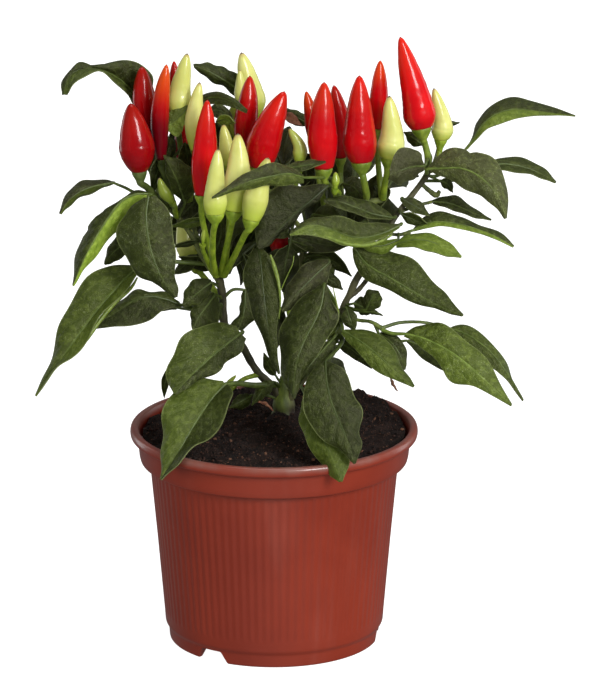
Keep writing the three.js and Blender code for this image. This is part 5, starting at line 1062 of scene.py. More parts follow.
def crumb_skin():
    """Peat that differs from crumb to crumb, a few of them light brown."""
    paint = Paint("soil_crumb")
    tint = paint.attribute("tint")
    grain = paint.noise(1500, detail=2)
    speck = paint.noise(2600, detail=2)
    base = paint.coats(
        paint.mix(tint.ramp(0.15, 0.85), PEAT, (0.026, 0.010, 0.006)),
        (tint.ramp(0.87, 0.95), (0.12, 0.055, 0.030)),
        (grain.ramp(0.5, 0.8) * 0.3, (0.035, 0.02, 0.016)),
        (speck.ramp(0.60, 0.66) * 0.7, (0.095, 0.046, 0.032)),
    )
    bump = paint.bump(grain, 0.0002, 0.6)
    return paint.finish(Base_Color=base, Roughness=0.8, Normal=bump, Specular_IOR_Level=0.35)


def vein_masks(paint):
    """Masks of a blade's midrib and side veins from its UV map, and the share across to the edge."""
    u, v = paint.uv()
    s = u * 2 - 1
    across = abs(s)
    right = s.math("GREATER_THAN", s, 0)
    phase = (v - across * VEIN_RISE) * paint.attribute("veins") + right * 0.5
    offset = abs((phase + 100).fraction() - 0.5)
    rib = across.ramp(0.085, 0.03)
    veins = offset.ramp(0.43, 0.5) * across.ramp(0.9, 0.6)
    return rib, veins, across


def leaf_upper():
    """The upper face: dark green with dust and painted sheen, and pale veins and margin."""
    paint = Paint("leaf_upper")
    rib, veins, across = vein_masks(paint)
    broad = paint.noise(60, detail=4)
    mottle = paint.noise(420, detail=4)
    dust_and_sheen = paint.noise(1800, detail=2)
    bloom = paint.noise(95, detail=5, roughness=0.65)
    dust_and_sheen_weight = paint.attribute("dust_and_sheen")
    cloud = bloom.ramp(0.5, 0.72) * dust_and_sheen.ramp(0.35, 0.6)
    speck = dust_and_sheen.ramp(0.60, 0.70) * mottle.ramp(0.35, 0.65)
    lime_and_backlit_green = paint.mix(mottle.ramp(0.3, 0.7), (0.12, 0.19, 0.012), (0.20, 0.28, 0.03))
    withered = paint.mix(mottle, (0.060, 0.046, 0.030), (0.12, 0.095, 0.068))
    base = paint.coats(
        paint.mix(broad.ramp(0.3, 0.7), (0.0150, 0.0215, 0.0022), (0.026, 0.037, 0.0042)),
        (mottle.ramp(0.46, 0.64) * 0.75, (0.053, 0.073, 0.010)),
        (veins * 0.5, (0.062, 0.086, 0.018)),
        (rib * 0.45, (0.10, 0.14, 0.03)),
        # Yellow-green, partly the leaf's own colour and partly painted light shining through the blade
        (paint.attribute("lime_and_backlight"), lime_and_backlit_green),
        # The dust, partly painted sheen: a greyish bloom in patches, and whitish specks that are partly
        # dust and partly painted glints
        (dust_and_sheen_weight * cloud * 0.8, (0.082, 0.104, 0.050)),
        (dust_and_sheen_weight * speck, (0.27, 0.29, 0.17)),
    )
    base = paint.coats(
        # Painted light and shade: the blade made lighter or darker by its own number
        paint.with_painted_light(base),
        (across.ramp(0.95, 0.985) * 0.6, (0.16, 0.19, 0.065)),
        (paint.attribute("brown"), withered),
    )
    return paint.finish(
        Base_Color=base,
        Roughness=0.33 + mottle * 0.18 + dust_and_sheen * 0.16,
        Normal=paint.bump(mottle * 1.2 + dust_and_sheen * 0.5 - veins * 0.2, 0.0009, 0.85),
        Specular_IOR_Level=0.5,
        Specular_Tint=(1.0, 0.98, 0.66, 1),
    )


def leaf_under():
    """The lower face: paler and matt, with raised veins."""
    paint = Paint("leaf_under")
    rib, veins, _ = vein_masks(paint)
    broad = paint.noise(70, detail=4)
    mottle = paint.noise(500, detail=4)
    base = paint.coats(
        paint.mix(broad.ramp(0.3, 0.7), (0.060, 0.090, 0.020), (0.085, 0.12, 0.032)),
        (mottle.ramp(0.4, 0.75) * 0.4, (0.12, 0.155, 0.05)),
        (veins * 0.5, (0.15, 0.20, 0.065)),
        (rib * 0.7, (0.18, 0.23, 0.075)),
        # Yellow-green, partly the leaf's own colour and partly painted light shining through the blade
        (paint.attribute("lime_and_backlight"), (0.21, 0.30, 0.035)),
    )
    bump = paint.bump(mottle * 0.4 + veins * 0.5, 0.0003, 0.6)
    # Painted light and shade: the lower face made lighter or darker by its own number
    return paint.finish(Base_Color=paint.with_painted_light(base), Roughness=0.55, Normal=bump, Specular_IOR_Level=0.4)


def leaf_rib():
    """Midribs and the leaves' own stalks, made lighter or darker by painted light and shade."""
    paint = Paint("leaf_rib")
    streak = paint.noise(300, detail=3)
    base = paint.mix(streak.ramp(0.3, 0.75), (0.050, 0.075, 0.010), (0.105, 0.145, 0.026))
    bump = paint.bump(streak, 0.0002, 0.5)
    return paint.finish(Base_Color=paint.with_painted_light(base), Roughness=0.45, Normal=bump)


def green_stalk():
    """Fruit stalks and calyxes: dull dark green, or bright yellow-green with ridges where fresh."""
    paint = Paint("green_stalk")
    streak = paint.noise(260, detail=3)
    fine = paint.noise(1400, detail=2)
    ridges = paint.noise(700, detail=2, stretch=(1, 1, 0.08))
    old = paint.mix(streak.ramp(0.3, 0.7), (0.035, 0.05, 0.014), (0.07, 0.09, 0.03))
    young = paint.mix(streak.ramp(0.3, 0.7), (0.17, 0.26, 0.010), (0.33, 0.43, 0.028))
    young = paint.mix(ridges.ramp(0.35, 0.65) * 0.4, young, (0.10, 0.17, 0.006))
    base = paint.mix(paint.attribute("fresh"), old, young)
    roughness = 0.36 + fine * 0.15
    bump = paint.bump(streak + ridges + fine * 0.3, 0.00035, 0.6)
    return paint.finish(Base_Color=base, Roughness=roughness, Normal=bump)


def stem_bark():
    """Grey-brown bark, green where it is fresh and darker towards the trunk's foot."""
    paint = Paint("stem_bark")
    streak = paint.noise(300, detail=5, stretch=(1, 1, 0.25))
    fine = paint.noise(1500, detail=3)
    green = paint.mix(streak.ramp(0.35, 0.7), (0.055, 0.080, 0.012), (0.19, 0.25, 0.030))
    foot_dark = paint.attribute("foot_darkening") * (0.5 + streak.ramp(0.35, 0.65) * 1.6)
    base = paint.coats(
        paint.mix(streak.ramp(0.3, 0.7), (0.022, 0.018, 0.010), (0.075, 0.060, 0.038)),
        (fine.ramp(0.62, 0.75) * 0.5, (0.11, 0.095, 0.07)),
        (paint.attribute("fresh"), green),
        (foot_dark, (0.014, 0.009, 0.005)),
    )
    bump = paint.bump(streak + fine * 0.4, 0.0005, 0.8)
    return paint.finish(Base_Color=base, Roughness=0.6, Normal=bump)


def finish_skin(paint, base, **sockets):
    """The glossy, faintly dimpled surface that all fruits share. The sockets are the colour's own."""
    fine = paint.noise(1200, detail=2)
    dimples = paint.noise(330, detail=1)
    bump = paint.bump(fine * 0.2 + dimples, 0.00022, 0.5)
    shared = {"Coat_Weight": 0.5, "Subsurface_Scale": 0.5}
    return paint.finish(Base_Color=base, Normal=bump, **shared, **sockets)


def red_skin():
    """Red, painted darker towards the base as painted shade, orange towards the tip where warm, with a
    dark point at the tip.
    """
    paint = Paint("red_skin")
    _, v = paint.uv()
    broad = paint.noise(70, detail=3)
    warm = paint.attribute("warm") * (v.ramp(0.55, 0.95) + broad * 0.4 - 0.2)
    base = paint.coats(
        paint.mix(broad.ramp(0.3, 0.75), (0.40, 0.0015, 0.004), (0.54, 0.002, 0.004)),
        # Painted shade: darker crimson towards the base
        (v.ramp(0.5, 0.0) * 0.7, (0.33, 0.001, 0.006)),
        (warm, (0.75, 0.09, 0.006)),
        # More painted shade towards the base, by each fruit's own share
        (paint.attribute("deep") * v.ramp(0.72, 0.3), (0.15, 0.001, 0.006)),
        (v.ramp(0.985, 0.998) * 0.7, (0.16, 0.02, 0.01)),
    )
    return finish_skin(
        paint,
        # Painted light and shade: the skin made lighter or darker by the fruit's own number
        paint.with_painted_light(base),
        Roughness=0.24 + broad * 0.1,
        Specular_IOR_Level=0.12,
        Coat_Roughness=0.11,
        Subsurface_Weight=0.05,
        Subsurface_Radius=(0.004, 0.0012, 0.0008),
    )


def yellow_skin():
    """Pale yellow, greener at the base and where unripe, with a brown point at the tip."""
    paint = Paint("yellow_skin")
    _, v = paint.uv()
    broad = paint.noise(60, detail=3)
    streaks = paint.noise(420, detail=2, stretch=(1, 1, 0.1))
    blush = paint.noise(120, detail=2)
    base = paint.coats(
        paint.mix(broad.ramp(0.3, 0.75), (0.55, 0.56, 0.15), (0.66, 0.67, 0.23)),
        (streaks.ramp(0.5, 0.75) * 0.25, (0.48, 0.56, 0.09)),
        (v.ramp(0.5, 0.06) * 0.8, (0.34, 0.43, 0.022)),
        (blush.ramp(0.62, 0.8) * 0.3, (0.80, 0.50, 0.10)),
        (paint.attribute("green"), (0.20, 0.29, 0.012)),
        (v.ramp(0.93, 0.975) * 0.5, (0.42, 0.24, 0.11)),
        (v.ramp(0.975, 0.985) * 0.9, (0.10, 0.055, 0.03)),
    )
    return finish_skin(
        paint,
        base,
        Roughness=0.26 + broad * 0.1,
        Specular_IOR_Level=0.3,
        Coat_Roughness=0.15,
        Subsurface_Weight=0.08,
        Subsurface_Radius=(0.004, 0.003, 0.001),
    )


def dry_scrap():
    """Withered leaf, light brown."""
    paint = Paint("dry_scrap")
    streak = paint.noise(400, detail=4)
    base = paint.mix(streak.ramp(0.35, 0.7), (0.11, 0.035, 0.018), (0.24, 0.11, 0.05))
    return paint.finish(Base_Color=base, Roughness=0.7, Normal=paint.bump(streak, 0.0004, 0.7))


def rolled_green():
    """The bright yellow-green of a margin that is rolled in."""
    paint = Paint("rolled_green")
    streak = paint.noise(500, detail=3)
    base = paint.mix(streak.ramp(0.3, 0.7), (0.09, 0.13, 0.012), (0.17, 0.23, 0.03))
    return paint.finish(Base_Color=base, Roughness=0.42, Normal=paint.bump(streak, 0.0002, 0.5))


POT_PLASTIC = pot_plastic()
SOIL_MIX = soil_mix()
CRUMB_SKIN = crumb_skin()
LEAF_UPPER = leaf_upper()
LEAF_UNDER = leaf_under()
LEAF_RIB = leaf_rib()
GREEN_STALK = green_stalk()
STEM_BARK = stem_bark()
RED_SKIN = red_skin()
YELLOW_SKIN = yellow_skin()
DRY_SCRAP = dry_scrap()
ROLLED_GREEN = rolled_green()


# Pot
def rounded(corners, steps=4):
    """An outline of corners (radius, height, rounding), each rounded by an arc-like curve."""
    outline = []
    for i, (r, z, rounding) in enumerate(corners):
        here = Vector((r, z))
        if not rounding or i in (0, len(corners) - 1):
            outline.append(here)
            continue
        before = Vector(corners[i - 1][:2])
        after = Vector(corners[i + 1][:2])
        start = here + (before - here).normalized() * rounding
        end = here + (after - here).normalized() * rounding
        for k in range(steps + 1):
            f = k / steps
            outline.append(start * (1 - f) ** 2 + here * 2 * f * (1 - f) + end * f * f)
    return outline


def spun(name, outline, steps):
    """A closed body turned about the pot's axis from an outline that starts and ends on it."""
    deselect()
    bpy.ops.mesh.primitive_plane_add(size=1)
    piece = named(bpy.context.object, name)
    bpy.ops.object.mode_set(mode="EDIT")
    bpy.ops.mesh.select_all(action="SELECT")
    bpy.ops.mesh.merge(type="CENTER")
    bpy.ops.transform.translate(value=(outline[0].x * MM, 0, outline[0].y * MM))
    for here, there in zip(outline, outline[1:]):
        step = ((there.x - here.x) * MM, 0, (there.y - here.y) * MM)
        bpy.ops.mesh.extrude_vertices_move(TRANSFORM_OT_translate={"value": step})
    bpy.ops.mesh.select_all(action="SELECT")
    bpy.ops.mesh.spin(steps=steps, angle=math.tau, center=(0, 0, 0), axis=(0, 0, 1))
    bpy.ops.mesh.select_all(action="SELECT")
    bpy.ops.mesh.remove_doubles(threshold=1e-6)
    bpy.ops.mesh.normals_make_consistent(inside=False)
    bpy.ops.object.mode_set(mode="OBJECT")
    return piece


def pot_outline():
    """From the hub's centre out and up the outside, over the lip and down the inside."""
    return rounded([
        (0, 0, 0),
        (HUB_RADIUS, 0, 0.8),
        (HUB_RADIUS + 1.5, FOOT_HEIGHT + 0.3, 0.8),
        (FOOT_RADIUS - 4.2, FOOT_HEIGHT + 0.3, 0.8),
        (FOOT_RADIUS - 2.6, 0, 0.5),
        (FOOT_RADIUS, 0, 1),
        (FOOT_RADIUS + 0.5, FOOT_HEIGHT - 0.4, 0.9),
        (BODY_FOOT_RADIUS - 0.3, FOOT_HEIGHT + 1.6, 0.9),
        (BODY_FOOT_RADIUS, 11.5, 0),
        (BODY_FOOT_RADIUS + 0.05, FLUTE_FOOT, 0),
        (BODY_FOOT_RADIUS + 0.2, FLUTE_FOOT + 1.6, 0),
        (BODY_FOOT_RADIUS + 3.1, 47, 0),
        (BODY_TOP_RADIUS - 0.2, FLUTE_TOP - 1.6, 0),
        (BODY_TOP_RADIUS - 0.05, FLUTE_TOP, 0),
        (BODY_TOP_RADIUS, 83.2, 0.5),
        (COLLAR_RADIUS - 1.4, 83.9, 0.7),
        (COLLAR_RADIUS - 0.8, 86.4, 0.6),
        (COLLAR_RADIUS, 94.6, 0.9),
        (LIP_RADIUS - 0.4, 95, 1),
        (LIP_RADIUS, 97, 1),
        (LIP_RADIUS - 0.4, POT_HEIGHT - 0.4, 1),
        (LIP_RADIUS - 2, POT_HEIGHT, 0.8),
        (LIP_RADIUS - 3.6, POT_HEIGHT - 0.3, 0.8),
        (COLLAR_RADIUS - WALL + 0.2, POT_HEIGHT - 3, 0.8),
        (COLLAR_RADIUS - WALL - 1.1, 86.6, 0.6),
        (BODY_TOP_RADIUS - WALL - 0.2, 84.6, 0.6),
        (BODY_FOOT_RADIUS - WALL, BODY_FOOT, 0),
        (BODY_FOOT_RADIUS - WALL - 0.8, FOOT_HEIGHT + 2, 0.6),
        (HUB_RADIUS - 0.2, FOOT_HEIGHT + 2, 0.5),
        (HUB_RADIUS - 1.6, HUB_LEVEL, 0.5),
        (0, HUB_LEVEL, 0),
    ])


def flute(pot):
    """Upright flutes round the outside of the body."""
    places = places_of(pot)
    radius = np.hypot(places[:, 0], places[:, 1])
    level = places[:, 2] / MM
    taper = (BODY_TOP_RADIUS - BODY_FOOT_RADIUS) * (level - BODY_FOOT) / (FLUTE_TOP - BODY_FOOT)
    outer = radius / MM > BODY_FOOT_RADIUS + taper - FLUTE_SKIN
    ends = eased(level, FLUTE_FOOT, FLUTE_FOOT + FLUTE_EASE)
    ends *= eased(level, FLUTE_TOP, FLUTE_TOP - FLUTE_EASE)
    turn = np.arctan2(places[:, 1], places[:, 0])
    groove = eased(np.cos(FLUTES * turn), -0.3, 0.7)
    deep = np.where(outer, FLUTE_DEPTH * MM * ends * groove, 0)
    share = (radius - deep) / np.maximum(radius, MM)
    places[:, 0] *= share
    places[:, 1] *= share
    set_places(pot, places)


def notch_cutter(angle):
    """A wedge with two sloped ends that cuts the foot ring from outside in."""
    deselect()
    bpy.ops.mesh.primitive_cube_add(size=1, location=(0, -FOOT_RADIUS, 0))
    cutter = bpy.context.object
    bpy.ops.object.transform_apply(location=True)
    places = places_of(cutter)
    upper = places[:, 2] > 0
    right = places[:, 0] > 0
    outer = places[:, 1] < -FOOT_RADIUS
    top_end = np.where(right, NOTCH_TOP[1], NOTCH_TOP[0])
    bottom_end = np.where(right, NOTCH_BOTTOM[1], NOTCH_BOTTOM[0])
    places[:, 0] = np.where(upper, top_end, bottom_end)
    places[:, 1] = np.where(outer, -FOOT_RADIUS - NOTCH_REACH, -FOOT_RADIUS + NOTCH_REACH)
    places[:, 2] = np.where(upper, NOTCH_HEIGHT, -1)
    set_places(cutter, places * MM)
    apply_modifier(cutter, "BEVEL", width=0.7 * MM, segments=3)
    cutter.data.transform(Matrix.Rotation(math.radians(angle + 90), 4, "Z"))
    return cutter


def make_pot():
    pot = spun("pot_shell", pot_outline(), FLUTES * FLUTE_FACES)
    flute(pot)
    for angle in NOTCH_ANGLES:
        cutter = notch_cutter(angle)
        apply_modifier(pot, "BOOLEAN", operation="DIFFERENCE", object=cutter, solver="EXACT")
        bpy.data.objects.remove(cutter)
    smooth(pot, 35)
    wear(pot, POT_PLASTIC)
    finished(pot, "pot", "pot")


# Soil
def soil_height(x, y):
    """The soil's level in millimetres, as in the solid, with finer lumps."""
    level = SOIL_LEVEL + 0.7 * np.sin(0.31 * x + 1.1) * np.cos(0.27 * y)
    level += 0.4 * np.sin(0.53 * y - 0.4 * x)
    for sx, sy, height, spread in SOIL_SWELLS:
        level += height * np.exp(-((x - sx) ** 2 + (y - sy) ** 2) / spread**2)
    return level


def lumps(x, y, size, seed):
    return np.array([noise.noise(Vector((a / size, b / size, seed))) for a, b in zip(x, y)])


def soil_top(x, y):
    """The level with its lumps, at rows of places."""
    rough = sum(height * lumps(x, y, size, seed) for height, size, seed in SOIL_LUMPS)
    return soil_height(x, y) + rough


def soil_level(x, y):
    """The level with its lumps, at one place."""
    return float(soil_top(np.array([x]), np.array([y]))[0])


def make_soil():
    """The top is a fine disc; its edge is drawn down along the pot's wall and closed below."""
    def disc(s, t):
        a, b = s, 2 * t - 1
        x = a * np.sqrt(1 - b * b / 2) * SOIL_TOP_RADIUS
        y = b * np.sqrt(1 - a * a / 2) * SOIL_TOP_RADIUS
        return np.stack([x, y, soil_top(x, y)], -1) * MM

    soil = sheet("soil_bed", SOIL_GRID, SOIL_GRID, disc)
    choose(soil)
    bpy.ops.object.mode_set(mode="EDIT")
    bpy.ops.mesh.select_mode(type="EDGE")
    bpy.ops.mesh.select_all(action="DESELECT")
    bpy.ops.mesh.select_non_manifold(extend=False)
    before = SOIL_TOP_RADIUS
    for radius, level in SOIL_WALL:
        share = radius / before
        bpy.ops.mesh.extrude_region_move()
        bpy.ops.transform.resize(value=(share, share, 0), center_override=(0, 0, level * MM))
        before = radius
    bpy.ops.mesh.edge_face_add()
    bpy.ops.mesh.select_all(action="SELECT")
    bpy.ops.mesh.normals_make_consistent(inside=False)
    bpy.ops.object.mode_set(mode="OBJECT")
    smooth(soil, 60)
    wear(soil, SOIL_MIX)
    finished(soil, "soil", "soil")


def scattered(name, template, count, seed, sizes):
    """Copies of one small shape over the soil, turned and sized at random, as one mesh."""
    draw = random.Random(seed)
    shape = places_of(template)
    faces = [tuple(face.vertices) for face in template.data.polygons]
    places, corners, tints = [], [], []
    while len(places) < count:
        x = draw.uniform(-SOIL_RADIUS, SOIL_RADIUS)
        y = draw.uniform(-SOIL_RADIUS, SOIL_RADIUS)
        near_rim = math.hypot(x, y) > SOIL_RADIUS - CRUMB_RIM
        near_trunk = math.hypot(x - TRUNK_X, y - TRUNK_Y) < TRUNK_CLEARING
        if near_rim or near_trunk:
            continue
        size = draw.uniform(*sizes) ** 2
        angle = draw.uniform(0, math.tau)
        axis = Vector([draw.gauss(0, 1) for _ in range(3)])
        turn = np.array(Matrix.Rotation(angle, 3, axis))
        stretch = np.array([size * draw.uniform(*span) for span in CRUMB_SPANS])
        level = soil_level(x, y) + size * CRUMB_RISE
        corners += [tuple(k + len(places) * len(shape) for k in face) for face in faces]
        places.append((shape * stretch) @ turn.T + (x, y, level))
        tints += [draw.random()] * len(shape)
    mesh = bpy.data.meshes.new(name)
    mesh.from_pydata((np.vstack(places) * MM).tolist(), [], corners)
    bpy.data.objects.remove(template)
    piece = placed(name, mesh)
    paint_points(piece, "tint", np.array(tints))
    return piece


def lump(seed):
    """A small ball with its points pushed in and out."""
    piece = ball(2)
    draw = random.Random(seed)
    places = places_of(piece)
    places *= np.array([[draw.uniform(*LUMP_SPAN)] for _ in places])
    set_places(piece, places)
    return piece


def make_crumbs():
    """Lumps and grains on the soil as one piece."""
    large = scattered("crumbs_large", lump(seed=5), LARGE_CRUMBS, seed=21, sizes=LARGE_SIZES)
    small = scattered("crumbs_small", ball(1), SMALL_CRUMBS, seed=22, sizes=SMALL_SIZES)
    crumbs = join("soil_crumbs", [large, small])
    smooth(crumbs, 40)
    wear(crumbs, CRUMB_SKIN)
    finished(crumbs, "soil", "soil")


def make_fibres():
    """Short roots and peat fibres that lie on the soil."""
    draw = random.Random(31)
    routes = []
    while len(routes) < FIBRES:
        x = draw.uniform(-FIBRE_SPAN, FIBRE_SPAN)
        y = draw.uniform(-FIBRE_SPAN, FIBRE_SPAN)
        if math.hypot(x, y) > FIBRE_REACH:
            continue
        heading = draw.uniform(0, math.tau)
        points = []
        for _ in range(FIBRE_POINTS):
            points.append((x, y, soil_level(x, y) + draw.uniform(*FIBRE_RISE)))
            heading += draw.uniform(-FIBRE_TURN, FIBRE_TURN)
            x += math.cos(heading) * FIBRE_STEP
            y += math.sin(heading) * FIBRE_STEP
        thick = draw.uniform(*FIBRE_RADII)
        routes.append((np.array(points) * MM, [thick * MM] * len(points)))
    fibres = tubes("soil_fibres", routes, resolution=0)
    paint_points(fibres, "tint", 0.9)
    wear(fibres, CRUMB_SKIN)
    finished(fibres, "soil", "soil")


def make_scraps():
    """Dried bits of leaf: curled strips in the front of the pot and one high in the bush."""
    bits = []
    for index, scrap in enumerate(SCRAPS):
        leaf = leaf_defaults({"veins": 3, "wave": 0.15, **scrap}, 200 + index)
        bits.append(blade(leaf, *SCRAP_GRID))
    piece = join("dry_scraps", bits)
    wear(piece, DRY_SCRAP)
    finished(piece, "leaf", "stem")


# Leaves
def blade_width(t):
    """A plain blade's width at the shares t of its length, as a share of its largest."""
    rising = np.sin(np.pi / 2 * np.clip(t / WIDEST, 0, 1)) ** 0.85
    falling = np.cos(np.pi / 2 * np.clip((t - WIDEST) / (1 - WIDEST), 0, 1)) ** 1.1
    return np.where(t < WIDEST, rising, falling)


def edge_ways(leaf, t):
    """The ways from the rib to the left and the right edge, as seen, at the shares t of the blade."""
    rib = along(leaf["rib"], t)[:, :2]
    if "left" in leaf:
        ways = [along(leaf["left"], t) - rib, along(leaf["right"], t) - rib]
    else:
        ahead = along(leaf["rib"], np.clip(t + SLOPE_STEP, 0, 1))
        behind = along(leaf["rib"], np.clip(t - SLOPE_STEP, 0, 1))
        run = (ahead - behind)[:, :2]
        run /= np.linalg.norm(run, axis=1)[:, None]
        spread = np.maximum(blade_width(t), np.where(t < 0.5, NECK_WIDTH, TIP_WIDTH))
        square = np.column_stack([run[:, 1], -run[:, 0]]) * spread[:, None]
        ways = [square * -leaf["widths"][0], square * leaf["widths"][1]]
    for side, place, depth in leaf.get("nicks", ()):
        ways[side] = ways[side] * (1 - depth * np.exp(-(((t - place) / NICK_SPAN) ** 2)))[:, None]
    return ways


def blade_surface(leaf, s, t):
    """The blade's middle surface in metres, and how far each place is from the rib in millimetres."""
    t = np.clip(t, 0, 1)
    s = np.clip(s, -1, 1)
    right = s > 0
    rib = along(leaf["rib"], t)
    left_way, right_way = edge_ways(leaf, t)
    uneven = 1 + 0.025 * np.sin(19 * t + np.where(right, 1, 4) + leaf["seed"])
    way = np.where(right[:, None], right_way, left_way) * (np.abs(s) * uneven)[:, None]
    fold = np.where(right, leaf["edges"][1], leaf["edges"][0]) * np.abs(s) ** 1.5
    fold *= eased(t, -0.1, 0.3) * eased(t, 1.05, 0.75)
    places = np.stack([rib[:, 0] + way[:, 0], rib[:, 1] + way[:, 1], rib[:, 2] + fold], -1)
    return seen(places), np.linalg.norm(way, axis=1)


def half_width(leaf):
    """The blade's largest half width in millimetres."""
    return max(np.linalg.norm(way, axis=1).max() for way in edge_ways(leaf, np.linspace(0.1, 0.9, 9)))


def facing(leaf, s, t):
    """The way out of the blade's face that is seen from the front."""
    outward = blade_surface(leaf, s + SLOPE_STEP, t)[0] - blade_surface(leaf, s - SLOPE_STEP, t)[0]
    ahead = blade_surface(leaf, s, t + SLOPE_STEP)[0] - blade_surface(leaf, s, t - SLOPE_STEP)[0]
    way = np.cross(outward, ahead)
    return way / np.maximum(np.linalg.norm(way, axis=1), 1e-12)[:, None]


def blade(leaf, columns, rows):
    """A blade with a sunken midrib, a quilted surface between its side veins and a waved edge."""
    size = half_width(leaf)
    count = leaf["veins"]
    seed = leaf["seed"]
    wave = leaf.get("wave", EDGE_WAVE * size)

    def place(s, t):
        t = t ** 0.92
        surface, out = blade_surface(leaf, s, t)
        a = np.abs(s)
        side = np.where(s > 0, 1.0, 0.0)
        phase = (t - VEIN_RISE * a) * count + 0.5 * side
        quilt = QUILT * size * np.abs(np.sin(np.pi * phase)) ** 0.8
        quilt *= eased(a, 0.06, 0.3) * eased(a, 1, 0.72) * eased(t, 0.02, 0.15) * eased(t, 1, 0.85)
        groove = GROOVE_DEPTH * np.exp(-((out / GROOVE_WIDTH) ** 2)) * eased(t, 1, 0.6)
        ripple = wave * a**2.2 * np.sin(2 * np.pi * (EDGE_WAVES + 0.4 * side) * t + seed + 2.1 * side)
        ripple *= eased(t, 0, 0.2) * eased(t, 1.02, 0.8)
        relief = (quilt - groove + ripple) * MM
        return surface + facing(leaf, s, t) * relief[:, None]

    piece = sheet(leaf["name"] + "_blade", columns, rows, place)
    flat = uv_of_points(piece)
    right = flat[:, 0] > 0.5
    # Painted light and shade: each half of the blade is painted lighter or darker, and more or less
    # yellow-green, as if one half faced the lamps and the other lay in shade; they blend across the rib
    for name, ends in (("painted_light", leaf["painted_light"]), ("lime_and_backlight", leaf["lime_and_backlight"])):
        values = np.where(right, ends[1], ends[0])
        middle = (ends[0] + ends[1]) / 2
        nearness = eased(np.abs(flat[:, 0] - 0.5), 0.0, 0.08)
        paint_points(piece, name, middle + (values - middle) * nearness)
    for name in ("dust_and_sheen", "brown", "veins"):
        paint_points(piece, name, leaf[name])
    wear(piece, LEAF_UPPER, LEAF_UNDER)
    apply_modifier(piece, "SOLIDIFY", thickness=BLADE_THICKNESS * MM, offset=0, material_offset=1)
    smooth(piece, 60)
    return piece


def uv_of_points(piece):
    """The UV place of each point of a sheet."""
    layer = piece.data.uv_layers.active.data
    corners = np.empty(len(layer) * 2)
    layer.foreach_get("uv", corners)
    points = np.empty(len(layer), np.int32)
    piece.data.loops.foreach_get("vertex_index", points)
    flat = np.zeros((len(piece.data.vertices), 2))
    flat[points] = corners.reshape(-1, 2)
    return flat


def rib_route(leaf):
    """The stalk and, below the blade, its midrib, with their radii."""
    size = half_width(leaf)
    t = np.linspace(0, RIB_END, RIB_POINTS)
    middle = np.zeros_like(t)
    rib = blade_surface(leaf, middle, t)[0] - facing(leaf, middle, t) * BLADE_THICKNESS * MM
    stalk = along([*leaf["stalk"], leaf["rib"][0]], np.linspace(0, 0.9, PETIOLE_POINTS))
    start = PETIOLE_RADIUS * leaf.get("thick", 1) * min(1, 0.62 + size / 30)
    stalk_radii = np.linspace(1.25, 0.95, PETIOLE_POINTS) * start
    rib_radii = start * (1 - t) ** 0.8 * 0.65 + 0.12
    return np.vstack([seen(stalk), rib]), np.concatenate([stalk_radii, rib_radii]) * MM


def leaf_defaults(leaf, index):
    """The row with all that it leaves out, and two numbers where one stands for both halves."""
    whole = {
        "seed": 1.7 * index,
        "name": f"stem_leaf_{index:02d}",
        "painted_light": 1,
        "lime_and_backlight": 0,
        "dust_and_sheen": 0.3,
        "brown": 0,
        "veins": 7,
        **leaf,
    }
    for name in ("painted_light", "lime_and_backlight", "widths", "edges"):
        if name in whole:
            whole[name] = np.broadcast_to(whole[name], 2)
    return whole


def ribs(name, leaves, painted_light):
    """The stalks and midribs of these leaves as one piece."""
    piece = tubes(name, [rib_route(leaf) for leaf in leaves], resolution=1)
    # Painted light and shade: one number for how light all these ribs are painted
    paint_points(piece, "painted_light", painted_light)
    wear(piece, LEAF_RIB)
    return piece


def leaf_piece(name, leaves, grid, painted_light, node):
    """Blades with their stalks as one piece, which stands for this node."""
    blades = [blade(leaf, *grid) for leaf in leaves]
    finished(join(name, [*blades, ribs(name + "_ribs", leaves, painted_light)]), "leaf", node)


def make_leaf(leaf, index):
    leaf = leaf_defaults(leaf, index)
    leaf_piece(leaf["name"] + "_blade", [leaf], LARGE_GRID, sum(leaf["painted_light"]) / 2, leaf["name"])


def make_stem_leaves():
    """Small, hidden and rearward leaves, which are part of the stem, painted darker as painted shade."""
    rows = [{"painted_light": STEM_LEAF_PAINTED_SHADE, "veins": 5, "dust_and_sheen": 0.15, **leaf} for leaf in STEM_LEAVES]
    leaves = [leaf_defaults(leaf, index) for index, leaf in enumerate(rows)]
    leaf_piece("young_leaves", leaves, SMALL_GRID, STEM_LEAF_PAINTED_SHADE, "stem")


def nearest_branch(place):
    """The nearest place on a branch, as seen."""
    curves = [along(branch, np.linspace(0, 1, 40))[:, :3] for branch in BRANCHES]
    places = np.vstack(curves)
    return places[np.argmin(np.linalg.norm(places - np.asarray(place, float), axis=1))]


def make_shade_leaves():
    """Leaves deep in the bush, each tilted, on a stalk from the nearest branch, and most painted darker as
    painted shade.
    """
    leaves = []
    for index, leaf in enumerate(SHADE_LEAVES):
        start = nearest_branch(leaf["rib"][0])
        middle = (start + np.asarray(leaf["rib"][0], float)) / 2 + (0, 1.5, 0)
        row = {"veins": 5, "dust_and_sheen": 0.1, "stalk": [start, middle], **leaf}
        whole = leaf_defaults(row, 100 + index)
        lean = SHADE_LEAN if index % 2 else -SHADE_LEAN
        whole["edges"] = whole["widths"] * (lean, -lean)
        leaves.append(whole)
    leaf_piece("shade_leaves", leaves, SHADE_GRID, SHADE_LEAF_PAINTED_SHADE, "stem")


def make_rolled_edges():
    """Pale leaf margins that are rolled in, and a tendril."""
    routes = []
    for row in ROLLED_EDGES:
        curve = along(row, np.linspace(0, 1, 8 * len(row)))
        routes.append((seen(curve), curve[:, 3] * MM))
    rolls = tubes("rolled_edges", routes, resolution=1)
    wear(rolls, ROLLED_GREEN)
    finished(rolls, "leaf", "stem")


